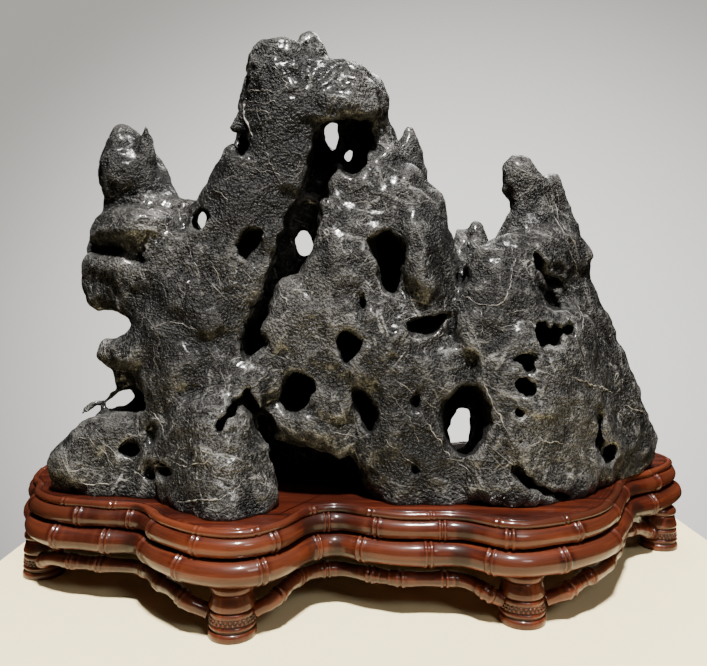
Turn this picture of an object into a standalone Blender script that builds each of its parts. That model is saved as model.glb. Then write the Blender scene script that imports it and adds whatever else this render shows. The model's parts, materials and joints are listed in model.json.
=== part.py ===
"""A scholar's rock resting on a carved hardwood stand.

The rock is one piece of dark limestone with a left tower, a main peak and a right peak,
worn through by hollows.  It rests on a lobed seat board.  Two bamboo-shaped rails run
round the board, one over the other, and six root-shaped feet with bent bamboo stems
between them carry it.

X runs along the rock, the front faces -Y and Z is up.  The origin is on the ground,
under the middle of the object.  Lengths below are in millimetres.
"""

import math

import bmesh
import bpy
from mathutils import Matrix, Vector

MM = 0.001                      # metres in a millimetre
CENTRE = (11.1, -0.3)            # middle of the object, in the coordinates of the lists below

# Heights above the ground
BOARD_TOP = 87.0
UPPER_RAIL_HEIGHT, UPPER_RAIL_RADIUS = 73.0, 8.5
LOWER_RAIL_HEIGHT, LOWER_RAIL_RADIUS = 53.7, 10.5
FOOT_TOP = 42.9
STEM_RADIUS = 6.2
STEM_HIGH, STEM_LOW = 31.5, 14.5
GAP = 0.3                       # clearance between pieces that touch

# The stand's outline, along the groove between the bead and the upper rail
OUTLINE = (
    (-326, 30), (-319, -4), (-304, -28), (-294, -54), (-266, -78), (-220, -91), (-184, -99),
    (-157, -133), (-119, -160), (-86, -165), (-58, -145), (-38, -111), (-14, -101), (14, -113),
    (40, -122), (88, -124), (124, -144), (158, -139), (208, -110), (239, -66), (270, -9),
    (307, 18), (342, 54), (349, 88), (335, 120), (303, 137), (268, 133), (220, 156), (160, 164),
    (100, 146), (40, 132), (-60, 154), (-130, 164), (-200, 148), (-240, 122), (-296, 110),
    (-325, 74),
)
INTERNODES = 30                 # bamboo sections once round a rail
STATIONS_PER_INTERNODE = 3
STATIONS = INTERNODES * STATIONS_PER_INTERNODE
NODE_SWELL = 1.0                # how far a bamboo node stands out
RAIL_SIDES = 8
UPPER_RAIL_INSET = 4.0          # rail centres, inside the outline
LOWER_RAIL_INSET = 1.5

# Board profile: (inset from the outline, height)
BOARD_EDGE = (
    (13.6, 54.0), (13.6, 81.8), (0.8, 81.8), (0.0, 84.3), (2.2, BOARD_TOP), (5.0, 85.8),
    (6.8, BOARD_TOP),
)

# Foot profile: (radius, height)
FOOT_PROFILE = (
    (19.2, 0.0), (19.4, 5.0), (17.0, 8.5), (18.6, 14.0), (18.8, 26.0), (16.4, 31.5),
    (17.9, 36.5), (16.6, FOOT_TOP),
)
FOOT_SIDES = 10
FEET = {
    "foot_left": (-297, -27), "foot_front_left": (-96, -147), "foot_front_right": (139, -124),
    "foot_right": (324, 46), "foot_back_right": (186, 144), "foot_back_left": (-124, 147),
}
STEMS = {
    "stem_front_left": ("foot_left", "foot_front_left"),
    "stem_front": ("foot_front_left", "foot_front_right"),
    "stem_front_right": ("foot_front_right", "foot_right"),
    "stem_back_right": ("foot_right", "foot_back_right"),
    "stem_back": ("foot_back_right", "foot_back_left"),
    "stem_back_left": ("foot_back_left", "foot_left"),
}
STEM_SIDES = 6
STEM_RISE_LENGTH = 62.0         # run over which a stem climbs from its low to its high level
STEM_TRACK_STEPS = 1800
STEM_REACH = 36.0               # straight run from a foot's axis to the rail's line
STEM_CLEARANCE = 22.3           # from a foot's axis to the stem's end

# The rock: each mass is the skin stretched over a few balls, (x, y, z, radius)
STONE_BASE = BOARD_TOP + GAP
STONE_VOXEL = 4.0
STONE_DETAIL = 0.0315           # share of the melted surface's faces that the solid keeps
SWELL_SIZE, SWELL_HEIGHT = 55.0, 9.0    # lumps worn into the rock's skin
MASSES = {
    # left tower
    "left crown": ((-222, -20, 413, 17), (-225, -18, 385, 21), (-206, -24, 388, 19),
                   (-205, 10, 380, 20)),
    "left fin": ((-203, -34, 426, 5), (-200, -30, 400, 9), (-196, -10, 392, 13)),
    "left shoulder": ((-198, -8, 388, 13), (-185, -2, 370, 16), (-196, -10, 340, 30),
                      (-178, 5, 342, 22)),
    "left waist": ((-222, -15, 360, 21), (-200, -10, 350, 28), (-215, 10, 345, 28)),
    "upper boss": ((-230, -25, 332, 22), (-208, -44, 334, 20), (-182, -40, 336, 20),
                   (-236, 0, 322, 24), (-175, -5, 325, 30)),
    "lower boss": ((-240, -25, 292, 22), (-240, -20, 275, 21), (-212, -46, 288, 19),
                   (-188, -52, 285, 20), (-234, 5, 288, 28), (-190, 10, 275, 32)),
    "left flank": ((-185, -40, 315, 28), (-145, -52, 308, 26), (-190, -40, 262, 30),
                   (-140, -65, 255, 30), (-180, 25, 300, 35), (-140, 20, 270, 40)),
    "left root": ((-180, -40, 250, 30), (-150, -60, 200, 35), (-165, -50, 150, 30),
                  (-150, 20, 200, 45), (-160, 20, 130, 45)),
    "saddle": ((-176, -10, 337, 20), (-152, -20, 335, 20), (-125, -28, 342, 20)),
    "ledge": ((-227, -40, 215, 13), (-192, -57, 216, 19), (-165, -40, 215, 30),
              (-190, -20, 200, 20)),
    # the two left feet
    "foot a": ((-258, -48, 111, 24), (-262, -42, 96, 22), (-236, -45, 142, 18),
               (-205, -50, 138, 21), (-195, -54, 94, 22), (-235, -54, 94, 20),
               (-240, 15, 95, 32), (-200, 25, 130, 35)),
    "foot saddle": ((-178, -56, 96, 26), (-172, -55, 150, 24), (-160, -20, 120, 30)),
    "foot b": ((-104, -116, 92, 27), (-142, -84, 92, 27), (-88, -104, 94, 25),
               (-114, -98, 150, 28), (-140, -70, 160, 30), (-130, -30, 100, 40)),
    "foot b shaft": ((-128, -80, 240, 28), (-150, -65, 230, 30), (-150, -75, 170, 30),
                     (-114, -98, 155, 26), (-135, -30, 200, 45)),
    # main peak
    "ridge slab": ((-114, -58, 350, 24), (-76, -60, 345, 20), (-135, -60, 290, 26),
                   (-100, -70, 292, 22), (-140, -70, 240, 30), (-120, -78, 238, 26),
                   (-120, -20, 300, 35)),
    "main slab": ((-80, -48, 450, 24), (-101, -50, 395, 22), (-54, -55, 420, 23),
                  (-62, -58, 378, 20), (-114, -55, 355, 22), (-76, -60, 350, 22),
                  (-85, -10, 400, 30), (-95, 0, 350, 30)),
    "main crown": ((-76, -45, 480, 23), (-52, -45, 480, 24), (-82, -48, 450, 24),
                   (-36, -58, 440, 24), (-60, -10, 455, 28), (-30, -45, 462, 24)),
    "main tip": ((-41, -36, 504, 14), (-50, -38, 492, 14), (-35, -34, 492, 14)),
    "peak shoulder": ((-28, -52, 458, 25), (2, -48, 455, 26), (12, -42, 446, 24),
                      (-25, -62, 442, 20), (5, -10, 440, 28), (-30, -10, 445, 28)),
    "brow": ((-34, -70, 440, 14), (-8, -66, 446, 14), (-44, -68, 420, 13)),
    "right post": ((20, -34, 432, 16), (25, -26, 410, 15), (30, -28, 388, 19),
                   (45, -38, 365, 22), (30, 10, 400, 22)),
    "peak back": ((-45, 10, 420, 25), (10, 15, 420, 22), (-50, 20, 380, 25), (25, 20, 375, 28),
                  (-60, 20, 340, 25), (20, 20, 340, 30)),
    "back spur": ((55, 20, 425, 8), (62, 20, 402, 15), (50, 10, 385, 22), (78, 20, 360, 20)),
    # centre
    "upper centre": ((15, -50, 362, 24), (56, -44, 352, 24), (75, -55, 300, 24),
                     (-14, -58, 340, 22), (-28, -62, 292, 24), (70, -52, 262, 22),
                     (30, 0, 320, 35)),
    "nose": ((62, -50, 352, 21), (68, -56, 332, 21), (70, -66, 300, 22), (64, -68, 266, 15),
             (60, -20, 330, 28), (78, -30, 290, 24)),
    "heart": ((-50, -74, 280, 20), (-66, -74, 254, 17), (-62, -78, 228, 18), (-46, -82, 222, 18),
              (-38, -72, 250, 21), (-50, -30, 240, 30)),
    "middle": ((-50, -60, 250, 28), (-60, -58, 215, 26), (0, -66, 250, 26), (60, -58, 240, 28),
               (20, -66, 200, 28), (-50, -60, 185, 24), (0, 20, 230, 50)),
    "centre ridge": ((-8, -72, 330, 12), (-3, -82, 295, 12), (2, -82, 256, 11),
                     (-5, -40, 290, 20)),
    "jagged bump": ((22, -84, 230, 13), (40, -88, 230, 11), (30, -84, 210, 14),
                    (30, -40, 220, 20)),
    "arch lip": ((-72, -68, 156, 16), (-40, -76, 150, 15), (-10, -76, 140, 16),
                 (-30, -30, 175, 25), (-60, -20, 150, 20)),
    "arch shoulder": ((-88, -72, 205, 12), (-86, -76, 176, 13), (-66, -70, 205, 14),
                      (-80, -40, 190, 20)),
    "front post": ((36, -74, 200, 22), (36, -78, 150, 24), (34, -62, 94, 22), (46, -80, 94, 22),
                   (90, -76, 94, 24), (80, -60, 200, 28), (40, -30, 150, 30), (12, -76, 134, 16)),
    "cleft wall": ((-70, 30, 95, 34), (-66, 25, 300, 28), (-10, 30, 95, 34), (-40, 30, 320, 28)),
    # right side
    "right shoulder": ((112, -42, 268, 22), (138, -42, 290, 22), (108, -58, 230, 28),
                       (150, -60, 230, 30), (135, -10, 265, 35)),
    "right shaft": ((142, -28, 300, 22), (165, -35, 300, 28), (190, -15, 315, 26),
                    (212, -4, 306, 24), (170, 5, 255, 42), (214, 4, 275, 24)),
    "right neck": ((168, -18, 345, 18), (184, -12, 345, 20), (194, -8, 325, 21),
                   (156, -20, 318, 20)),
    "right peak": ((160, -18, 385, 18), (184, -14, 371, 15), (166, -20, 352, 17),
                   (184, -12, 350, 17)),
    "right peak cheek": ((152, -20, 370, 11), (162, -20, 366, 14)),
    "right front": ((138, -94, 94, 27), (182, -68, 94, 27), (186, -66, 130, 24),
                    (150, -82, 170, 30), (185, -55, 200, 30), (120, -78, 200, 24),
                    (140, -65, 250, 28), (175, -45, 255, 30), (105, -84, 94, 26),
                    (212, -32, 96, 27), (206, -30, 190, 26)),
    "right flank": ((214, 4, 272, 25), (245, 12, 222, 24), (273, 24, 160, 25),
                    (291, 36, 112, 26), (200, -10, 250, 30), (212, -20, 120, 30),
                    (190, 20, 230, 45)),
    "right heel": ((291, 36, 112, 26), (288, 40, 94, 26), (245, 0, 94, 27), (240, 60, 100, 40)),
    "twin knob left": ((115, 40, 330, 8), (112, 38, 300, 14), (116, 30, 285, 18)),
    "twin knob right": ((127, 40, 339, 8), (128, 38, 300, 15), (138, 15, 290, 22)),
    # back
    "back left": ((-130, 80, 95, 38), (-190, 50, 95, 40), (-120, 55, 200, 38),
                  (-160, 40, 260, 36), (-110, 30, 320, 36)),
    "back middle": ((-20, 70, 95, 34), (50, 65, 95, 36), (30, 45, 230, 42),
                    (-30, 45, 250, 40), (40, 25, 330, 34)),
    "back right": ((150, 80, 95, 38), (210, 66, 95, 38), (150, 50, 220, 40),
                   (195, 30, 255, 32), (160, 15, 300, 30)),
    "back bridge": ((-90, 50, 150, 40), (110, 50, 190, 38), (0, 50, 200, 45), (90, 40, 270, 30)),
    "back knuckle high": ((-75, 28, 400, 16), (-60, 40, 360, 20), (-80, 20, 350, 26)),
    "back knuckle low": ((30, 92, 190, 20), (5, 84, 160, 22), (40, 60, 170, 30)),
    "back rib": ((-150, 78, 260, 14), (-138, 96, 190, 16), (-150, 104, 120, 20),
                 (-140, 50, 200, 30)),
    "back shelf": ((190, 84, 180, 16), (150, 92, 172, 16), (170, 60, 190, 24)),
}
HOLLOWS = {
    "cave": ((-42, -120, 106, 24), (-22, -120, 98, 22), (-42, -34, 104, 22), (-22, -34, 96, 20)),
    "big oval": ((95, -115, 174, 19), (95, -115, 151, 20), (97, -60, 157, 18), (116, 130, 112, 26)),
    "top hollow": ((-12, -90, 408, 19), (6, -90, 404, 20), (2, -30, 400, 17), (-10, -30, 406, 16)),
    "round socket": ((2, -60, 387, 14), (2, -8, 389, 12)),
    "back window": ((-20, -30, 418, 10), (-22, 80, 432, 14)),
    "middle hole": ((-44, -90, 316, 12), (-45, -20, 318, 10), (-54, 70, 328, 13),
                    (-58, 130, 334, 22)),
    "cleft": ((-22, -95, 390, 13), (-32, -95, 350, 12), (-34, -20, 350, 9), (-24, -20, 390, 11)),
    "cleft foot": ((-38, -100, 335, 10), (-70, -104, 282, 8), (-68, -40, 286, 6),
                   (-40, -30, 335, 8)),
    "cleft tail": ((-72, -104, 280, 7), (-98, -110, 228, 8), (-92, -60, 230, 6),
                   (-70, -40, 282, 6)),
    "tall hollow": ((28, -105, 315, 14), (30, -105, 285, 14), (24, -100, 262, 12),
                    (30, -52, 300, 10)),
    "nose undercut": ((48, -105, 246, 10), (80, -105, 248, 8), (64, -58, 250, 9)),
    "dark eye": ((-10, -110, 226, 12), (2, -110, 218, 12), (0, -60, 222, 8)),
    "mouth": ((-50, -110, 184, 18), (-42, -110, 176, 15), (-46, -46, 182, 12)),
    "slant slot": ((4, -110, 188, 8), (14, -110, 153, 9), (10, -58, 170, 6)),
    "side slot": ((-88, -110, 158, 8), (-72, -110, 144, 8), (-80, -50, 150, 7)),
    "left eye": ((-92, -105, 318, 13), (-98, -105, 304, 11), (-90, -58, 312, 8)),
    "neck notch": ((-128, -60, 410, 8), (-112, -72, 407, 8), (-106, -84, 398, 9)),
    "boss groove": ((-262, -62, 313, 3), (-210, -74, 307, 4), (-214, -42, 309, 3),
                    (-255, -34, 312, 3)),
    "foot cleft": ((-222, -84, 178, 9), (-200, -84, 176, 12), (-206, -10, 176, 12)),
    "foot crease": ((-186, -100, 118, 8), (-176, -112, 96, 10), (-180, -76, 108, 6)),
    "valley": ((98, -90, 262, 6), (94, -84, 300, 9), (98, 30, 300, 9), (100, -30, 268, 6)),
    "right crease": ((226, -60, 160, 5), (224, -64, 118, 7), (226, -34, 130, 5)),
    "back cave": ((-62, 140, 100, 26), (-60, 60, 95, 18)),
    "back pocket": ((92, 130, 230, 18), (100, 70, 226, 12)),
    "back bowl": ((-6, 130, 300, 24), (0, 70, 292, 14)),
    "back slot": ((175, 140, 250, 10), (182, 140, 215, 12), (178, 66, 232, 8)),
    "left bowl": ((-178, 110, 320, 20), (-176, 66, 312, 14)),
}
PITS = (
    (162, -72, 295, 8), (172, -72, 270, 9), (183, -66, 258, 9), (166, -80, 234, 9),
    (178, -78, 232, 10), (150, -96, 209, 11), (146, -104, 189, 11), (141, -112, 166, 8),
    (140, -114, 148, 7), (176, -56, 285, 8), (-218, -70, 137, 7), (-200, -72, 130, 11),
    (-150, -108, 112, 12), (58, -106, 120, 8), (76, -108, 118, 8), (-186, 92, 190, 15),
    (60, 98, 150, 16), (118, 96, 150, 13), (-90, 92, 250, 16), (214, 84, 140, 14),
)


def at(x, y, z):
    """A point given in the lists' millimetres, in metres round the object's middle."""
    return Vector(((x - CENTRE[0]) * MM, (y - CENTRE[1]) * MM, z * MM))


def clear_scene():
    """Remove every object and mesh that the file starts with."""
    for thing in list(bpy.data.objects):
        bpy.data.objects.remove(thing, do_unlink=True)
    for mesh in list(bpy.data.meshes):
        bpy.data.meshes.remove(mesh)


def material(name, colour, roughness, metallic=0.0):
    """A plain Principled material."""
    made = bpy.data.materials.new(name)
    made.use_nodes = True
    shader = made.node_tree.nodes["Principled BSDF"]
    shader.inputs["Base Color"].default_value = (*colour, 1.0)
    shader.inputs["Roughness"].default_value = roughness
    shader.inputs["Metallic"].default_value = metallic
    return made


def add_object(name, bm, finish, smooth=True):
    """Make a named object from a bmesh, with its faces turned outwards."""
    bmesh.ops.recalc_face_normals(bm, faces=bm.faces)
    mesh = bpy.data.meshes.new(name)
    bm.to_mesh(mesh)
    bm.free()
    if smooth:
        mesh.shade_smooth()
    mesh.materials.append(finish)
    thing = bpy.data.objects.new(name, mesh)
    bpy.context.scene.collection.objects.link(thing)
    return thing


# ------------------------------------------------------------------ the stand's outline


def smooth_closed(points, count):
    """Points evenly spaced along a smooth closed curve through the given ones."""
    fine = []
    steps = 24
    size = len(points)
    for index in range(size):
        before, start, end, after = (Vector(points[(index + k) % size]) for k in (-1, 0, 1, 2))
        for step in range(steps):
            t = step / steps
            fine.append(0.5 * (2 * start + (end - before) * t
                               + (2 * before - 5 * start + 4 * end - after) * t ** 2
                               + (3 * start - before - 3 * end + after) * t ** 3))
    lengths = [0.0]
    for index, point in enumerate(fine):
        lengths.append(lengths[-1] + (fine[(index + 1) % len(fine)] - point).length)
    spaced = []
    index = 0
    for station in range(count):
        wanted = lengths[-1] * station / count
        while lengths[index + 1] < wanted:
            index += 1
        share = (wanted - lengths[index]) / (lengths[index + 1] - lengths[index])
        spaced.append(fine[index].lerp(fine[(index + 1) % len(fine)], share))
    return spaced


def inward_normals(points):
    """Unit vectors at each point of a counter-clockwise closed curve, towards its inside."""
    normals = []
    size = len(points)
    for index in range(size):
        along = points[(index + 1) % size] - points[index - 1]
        normals.append(Vector((-along.y, along.x)).normalized())
    return normals


def inset_outline(distance, count):
    """The outline moved inwards by a distance."""
    points = smooth_closed(OUTLINE, count)
    return [point + normal * distance for point, normal in zip(points, inward_normals(points))]


# ------------------------------------------------------------------ swept and turned shapes


def bridge_rings(bm, rings, closed):
    """Join neighbouring rings of vertices with faces, and cap the ends of an open run."""
    pairs = list(zip(rings, rings[1:]))
    if closed:
        pairs.append((rings[-1], rings[0]))
    for first, second in pairs:
        for side in range(len(first)):
            after = (side + 1) % len(first)
            bm.faces.new((first[side], first[after], second[after], second[side]))
    if not closed:
        bm.faces.new(rings[0])
        bm.faces.new(rings[-1])


def tube(points, radii, sides, closed=False):
    """A tube along points, in metres; its radii are (across, upright) at each point."""
    bm = bmesh.new()
    rings = []
    size = len(points)
    for index, point in enumerate(points):
        after = points[(index + 1) % size] if closed or index < size - 1 else point
        before = points[index - 1] if closed or index > 0 else point
        along = (after - before).normalized()
        across = along.cross(Vector((0, 0, 1))).normalized()
        upward = across.cross(along)
        ring = []
        for side in range(sides):
            turn = 2 * math.pi * (side + 0.5) / sides
            wide, high = radii[index]
            offset = across * wide * math.cos(turn) + upward * high * math.sin(turn)
            ring.append(bm.verts.new(point + offset))
        rings.append(ring)
    bridge_rings(bm, rings, closed)
    return bm


def turned(profile, centre, sides):
    """A solid turned about a vertical axis from a (radius, height) profile."""
    bm = bmesh.new()
    rings = []
    for radius, height in profile:
        ring = []
        for side in range(sides):
            turn = 2 * math.pi * side / sides
            ring.append(bm.verts.new(at(centre[0] + radius * math.cos(turn),
                                        centre[1] + radius * math.sin(turn), height)))
        rings.append(ring)
    bridge_rings(bm, rings, closed=False)
    return bm


# ------------------------------------------------------------------ the stand


def build_rail(name, height, radius, inset, finish):
    """One bamboo-shaped rail round the stand, wider at each node."""
    points = [at(point.x, point.y, height) for point in inset_outline(inset, STATIONS)]
    at_node = ((radius + NODE_SWELL) * MM, radius * MM)
    between = (radius * MM, radius * MM)
    radii = [between if index % STATIONS_PER_INTERNODE else at_node
             for index in range(len(points))]
    return add_object(name, tube(points, radii, RAIL_SIDES, closed=True), finish)


def build_board(finish):
    """The lobed seat board, cut back under its bead to take the upper rail."""
    bm = bmesh.new()
    rings = []
    for inset, height in BOARD_EDGE:
        ring = [bm.verts.new(at(point.x, point.y, height))
                for point in inset_outline(inset, STATIONS)]
        rings.append(ring)
    bridge_rings(bm, rings, closed=False)
    return add_object("seat_board", bm, finish, smooth=False)


def build_feet(finish):
    """Six short feet, turned like the root end of a bamboo."""
    for name, centre in FEET.items():
        add_object(name, turned(FOOT_PROFILE, centre, FOOT_SIDES), finish)


def stem_path(start, end):
    """A stem's centre line: out of one foot, up under the rail, and down to the next."""
    count = STEM_TRACK_STEPS
    track = inset_outline(UPPER_RAIL_INSET, count)
    first = min(range(count), key=lambda k: (track[k] - Vector(start)).length)
    last = min(range(count), key=lambda k: (track[k] - Vector(end)).length)
    run = [track[(first + k) % count] for k in range((last - first) % count + 1)]
    lengths = [0.0]
    for before, after in zip(run, run[1:]):
        lengths.append(lengths[-1] + (after - before).length)
    total = lengths[-1]
    leaving = next(p for p, length in zip(run, lengths) if length >= STEM_REACH)
    arriving = next(p for p, length in zip(run, lengths) if length >= total - STEM_REACH)
    points = []
    for point, length in zip(run, lengths):
        near = min(length, total - length)
        if length < STEM_REACH:
            point = Vector(start).lerp(leaving, near / STEM_REACH)
        elif near < STEM_REACH:
            point = Vector(end).lerp(arriving, near / STEM_REACH)
        rise = min(near / STEM_RISE_LENGTH, 1.0)
        rise = rise * rise * (3 - 2 * rise)
        points.append(at(point.x, point.y, STEM_LOW + (STEM_HIGH - STEM_LOW) * rise))
    return points


def clear_of(points, centres, distance):
    """The points that lie further than a distance from every centre, seen from above."""
    kept = []
    for point in points:
        spans = [(point.xy - at(*centre, 0).xy).length for centre in centres]
        if min(spans) > distance * MM:
            kept.append(point)
    return kept


def resample(points, count):
    """Evenly spaced points along an open run of points."""
    lengths = [0.0]
    for before, after in zip(points, points[1:]):
        lengths.append(lengths[-1] + (after - before).length)
    spaced = []
    index = 0
    for station in range(count):
        wanted = lengths[-1] * station / (count - 1)
        while index < len(points) - 2 and lengths[index + 1] < wanted:
            index += 1
        share = (wanted - lengths[index]) / (lengths[index + 1] - lengths[index])
        spaced.append(points[index].lerp(points[index + 1], share))
    return spaced


def build_stems(finish):
    """Bent bamboo stems from foot to foot, just under the lower rail."""
    for name, (first, last) in STEMS.items():
        ends = (FEET[first], FEET[last])
        path = clear_of(stem_path(*ends), ends, STEM_CLEARANCE)
        length = sum((b - a).length for a, b in zip(path, path[1:])) / MM
        points = resample(path, max(9, round(length / 21)))
        radii = [(STEM_RADIUS * MM, STEM_RADIUS * MM)] * len(points)
        add_object(name, tube(points, radii, STEM_SIDES), finish)


# ------------------------------------------------------------------ the rock


def ball_directions():
    """Unit vectors spread evenly over a sphere."""
    bm = bmesh.new()
    bmesh.ops.create_icosphere(bm, subdivisions=2, radius=1.0)
    directions = [vertex.co.normalized() for vertex in bm.verts]
    bm.free()
    return directions


def stretched_skins(lists):
    """One bmesh holding, for each list of balls, the convex skin over them."""
    directions = ball_directions()
    bm = bmesh.new()
    for balls in lists:
        corners = []
        for x, y, z, radius in balls:
            corners += [bm.verts.new(at(x, y, z) + way * radius * MM) for way in directions]
        made = bmesh.ops.convex_hull(bm, input=corners, use_existing_faces=False)
        spare = {part for part in made["geom_interior"] + made["geom_unused"]
                 if isinstance(part, bmesh.types.BMVert)}
        bmesh.ops.delete(bm, geom=list(spare), context="VERTS")
    return bm


def add_remesh(thing, voxel):
    """Melt the skins of an object into one closed surface."""
    remesh = thing.modifiers.new("melt", "REMESH")
    remesh.mode = "VOXEL"
    remesh.voxel_size = voxel * MM
    remesh.use_smooth_shade = True


def add_cut(thing, cutter, name):
    """Take a cutter's shape away from an object."""
    cut = thing.modifiers.new(name, "BOOLEAN")
    cut.operation = "DIFFERENCE"
    cut.object = cutter


def guide_only(thing):
    """Keep a cutter out of the finished object."""
    thing.hide_render = True
    thing.display_type = "WIRE"


def add_swells(thing):
    """Raise and sink the skin in soft lumps, as water wears it."""
    lumps = bpy.data.textures.new("worn lumps", "CLOUDS")
    lumps.noise_scale = SWELL_SIZE * MM
    lumps.noise_depth = 2
    wear = thing.modifiers.new("worn lumps", "DISPLACE")
    wear.texture = lumps
    wear.texture_coords = "LOCAL"
    wear.mid_level = 0.5
    wear.strength = SWELL_HEIGHT * MM


def build_floor_cutter(finish):
    """A block under the rock that saws its feet off flat."""
    bm = bmesh.new()
    depth = 100.0
    middle = at(CENTRE[0], CENTRE[1], STONE_BASE - depth / 2)
    shape = Matrix.Translation(middle) @ Matrix.Diagonal((0.8, 0.5, depth * MM, 1.0))
    bmesh.ops.create_cube(bm, size=1.0, matrix=shape)
    cutter = add_object("stone floor cutter", bm, finish, smooth=False)
    guide_only(cutter)
    return cutter


def build_stone(finish):
    """The rock: its masses melted together, hollowed, and sawn flat underneath."""
    pits = [(pit,) for pit in PITS]
    hollows = add_object("stone hollows", stretched_skins([*HOLLOWS.values(), *pits]), finish)
    add_remesh(hollows, STONE_VOXEL)
    guide_only(hollows)
    floor = build_floor_cutter(finish)
    stone = add_object("stone", stretched_skins(MASSES.values()), finish)
    add_remesh(stone, STONE_VOXEL)
    add_cut(stone, hollows, "hollow")
    add_remesh(stone, STONE_VOXEL)
    soften = stone.modifiers.new("soften", "SMOOTH")
    soften.factor = 0.5
    soften.iterations = 1
    add_swells(stone)
    thin = stone.modifiers.new("thin", "DECIMATE")
    thin.ratio = STONE_DETAIL
    add_cut(stone, floor, "flat feet")
    return stone


def main():
    """Build every piece."""
    clear_scene()
    rock = material("black limestone", (0.035, 0.036, 0.038), 0.45)
    wood = material("red-brown lacquered hardwood", (0.16, 0.035, 0.015), 0.25)
    build_board(wood)
    build_rail("upper_rail", UPPER_RAIL_HEIGHT, UPPER_RAIL_RADIUS, UPPER_RAIL_INSET, wood)
    build_rail("lower_rail", LOWER_RAIL_HEIGHT, LOWER_RAIL_RADIUS, LOWER_RAIL_INSET, wood)
    build_feet(wood)
    build_stems(wood)
    build_stone(rock)


main()
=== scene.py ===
"""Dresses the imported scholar's rock and its stand for close viewing.

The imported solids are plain.  Here the rock is modelled again with its worn lumps, pits
and cracks, and the stand with its bamboo nodes, beads and turned feet, and every surface
gets its stone, lacquer or plaster finish.  X runs along the rock, the front faces -Y.
Lengths in the lists are millimetres from the drawing's own zero; at() turns them into
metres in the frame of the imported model.
"""

import json
import logging
import math
from contextlib import contextmanager
from dataclasses import dataclass, field
from enum import Enum
from functools import partial, reduce
from typing import Any, Callable, Iterable, Iterator, Mapping, Sequence

import bpy
import numpy as np
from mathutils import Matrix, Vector, noise
from mathutils.bvhtree import BVHTree

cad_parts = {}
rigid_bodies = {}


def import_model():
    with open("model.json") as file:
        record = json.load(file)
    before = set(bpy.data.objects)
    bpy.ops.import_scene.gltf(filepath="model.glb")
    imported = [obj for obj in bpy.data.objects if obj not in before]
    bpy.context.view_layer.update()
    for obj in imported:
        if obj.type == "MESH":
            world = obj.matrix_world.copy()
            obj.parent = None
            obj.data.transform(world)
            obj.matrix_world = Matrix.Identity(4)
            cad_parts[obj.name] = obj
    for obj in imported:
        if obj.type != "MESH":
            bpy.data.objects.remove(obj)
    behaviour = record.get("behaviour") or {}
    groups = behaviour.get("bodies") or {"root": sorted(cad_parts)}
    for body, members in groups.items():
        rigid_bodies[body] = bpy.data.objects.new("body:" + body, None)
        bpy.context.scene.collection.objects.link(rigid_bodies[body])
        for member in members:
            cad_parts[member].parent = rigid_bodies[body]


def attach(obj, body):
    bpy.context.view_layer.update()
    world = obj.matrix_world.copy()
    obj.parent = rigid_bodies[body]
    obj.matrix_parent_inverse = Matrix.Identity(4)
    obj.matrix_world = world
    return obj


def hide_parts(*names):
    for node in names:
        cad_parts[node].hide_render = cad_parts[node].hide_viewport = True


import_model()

LOG = logging.getLogger("scholars_rock")
MM = 0.001                      # metres in a millimetre
CENTRE = (11.1, -0.3)           # middle of the object, in the lists' coordinates
BODY = "root"                   # the one body that every piece rides on
CREASE = 50.0                   # degrees; turned edges sharper than this stay sharp
FULL_TURN = 2 * math.pi

Ball = tuple[float, float, float, float]
Triple = tuple[float, float, float]
Pair = tuple[float, float]
Node = bpy.types.Node
Socket = bpy.types.NodeSocket
Piece = bpy.types.Object


def read_rows(text: str) -> list[tuple[str, tuple[tuple[float, ...], ...]]]:
    """Read a table of entries like "name: 1 2 3, 4 5 6;".

    Args:
        text: the entries, each a label and then rows of numbers.

    Returns:
        Each entry's label and rows.
    """
    entries = (entry.partition(":") for entry in text.split(";") if ":" in entry)
    return [(label.strip(), tuple(tuple(map(float, row.split())) for row in rows.split(",")))
            for label, _, rows in entries]


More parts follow.
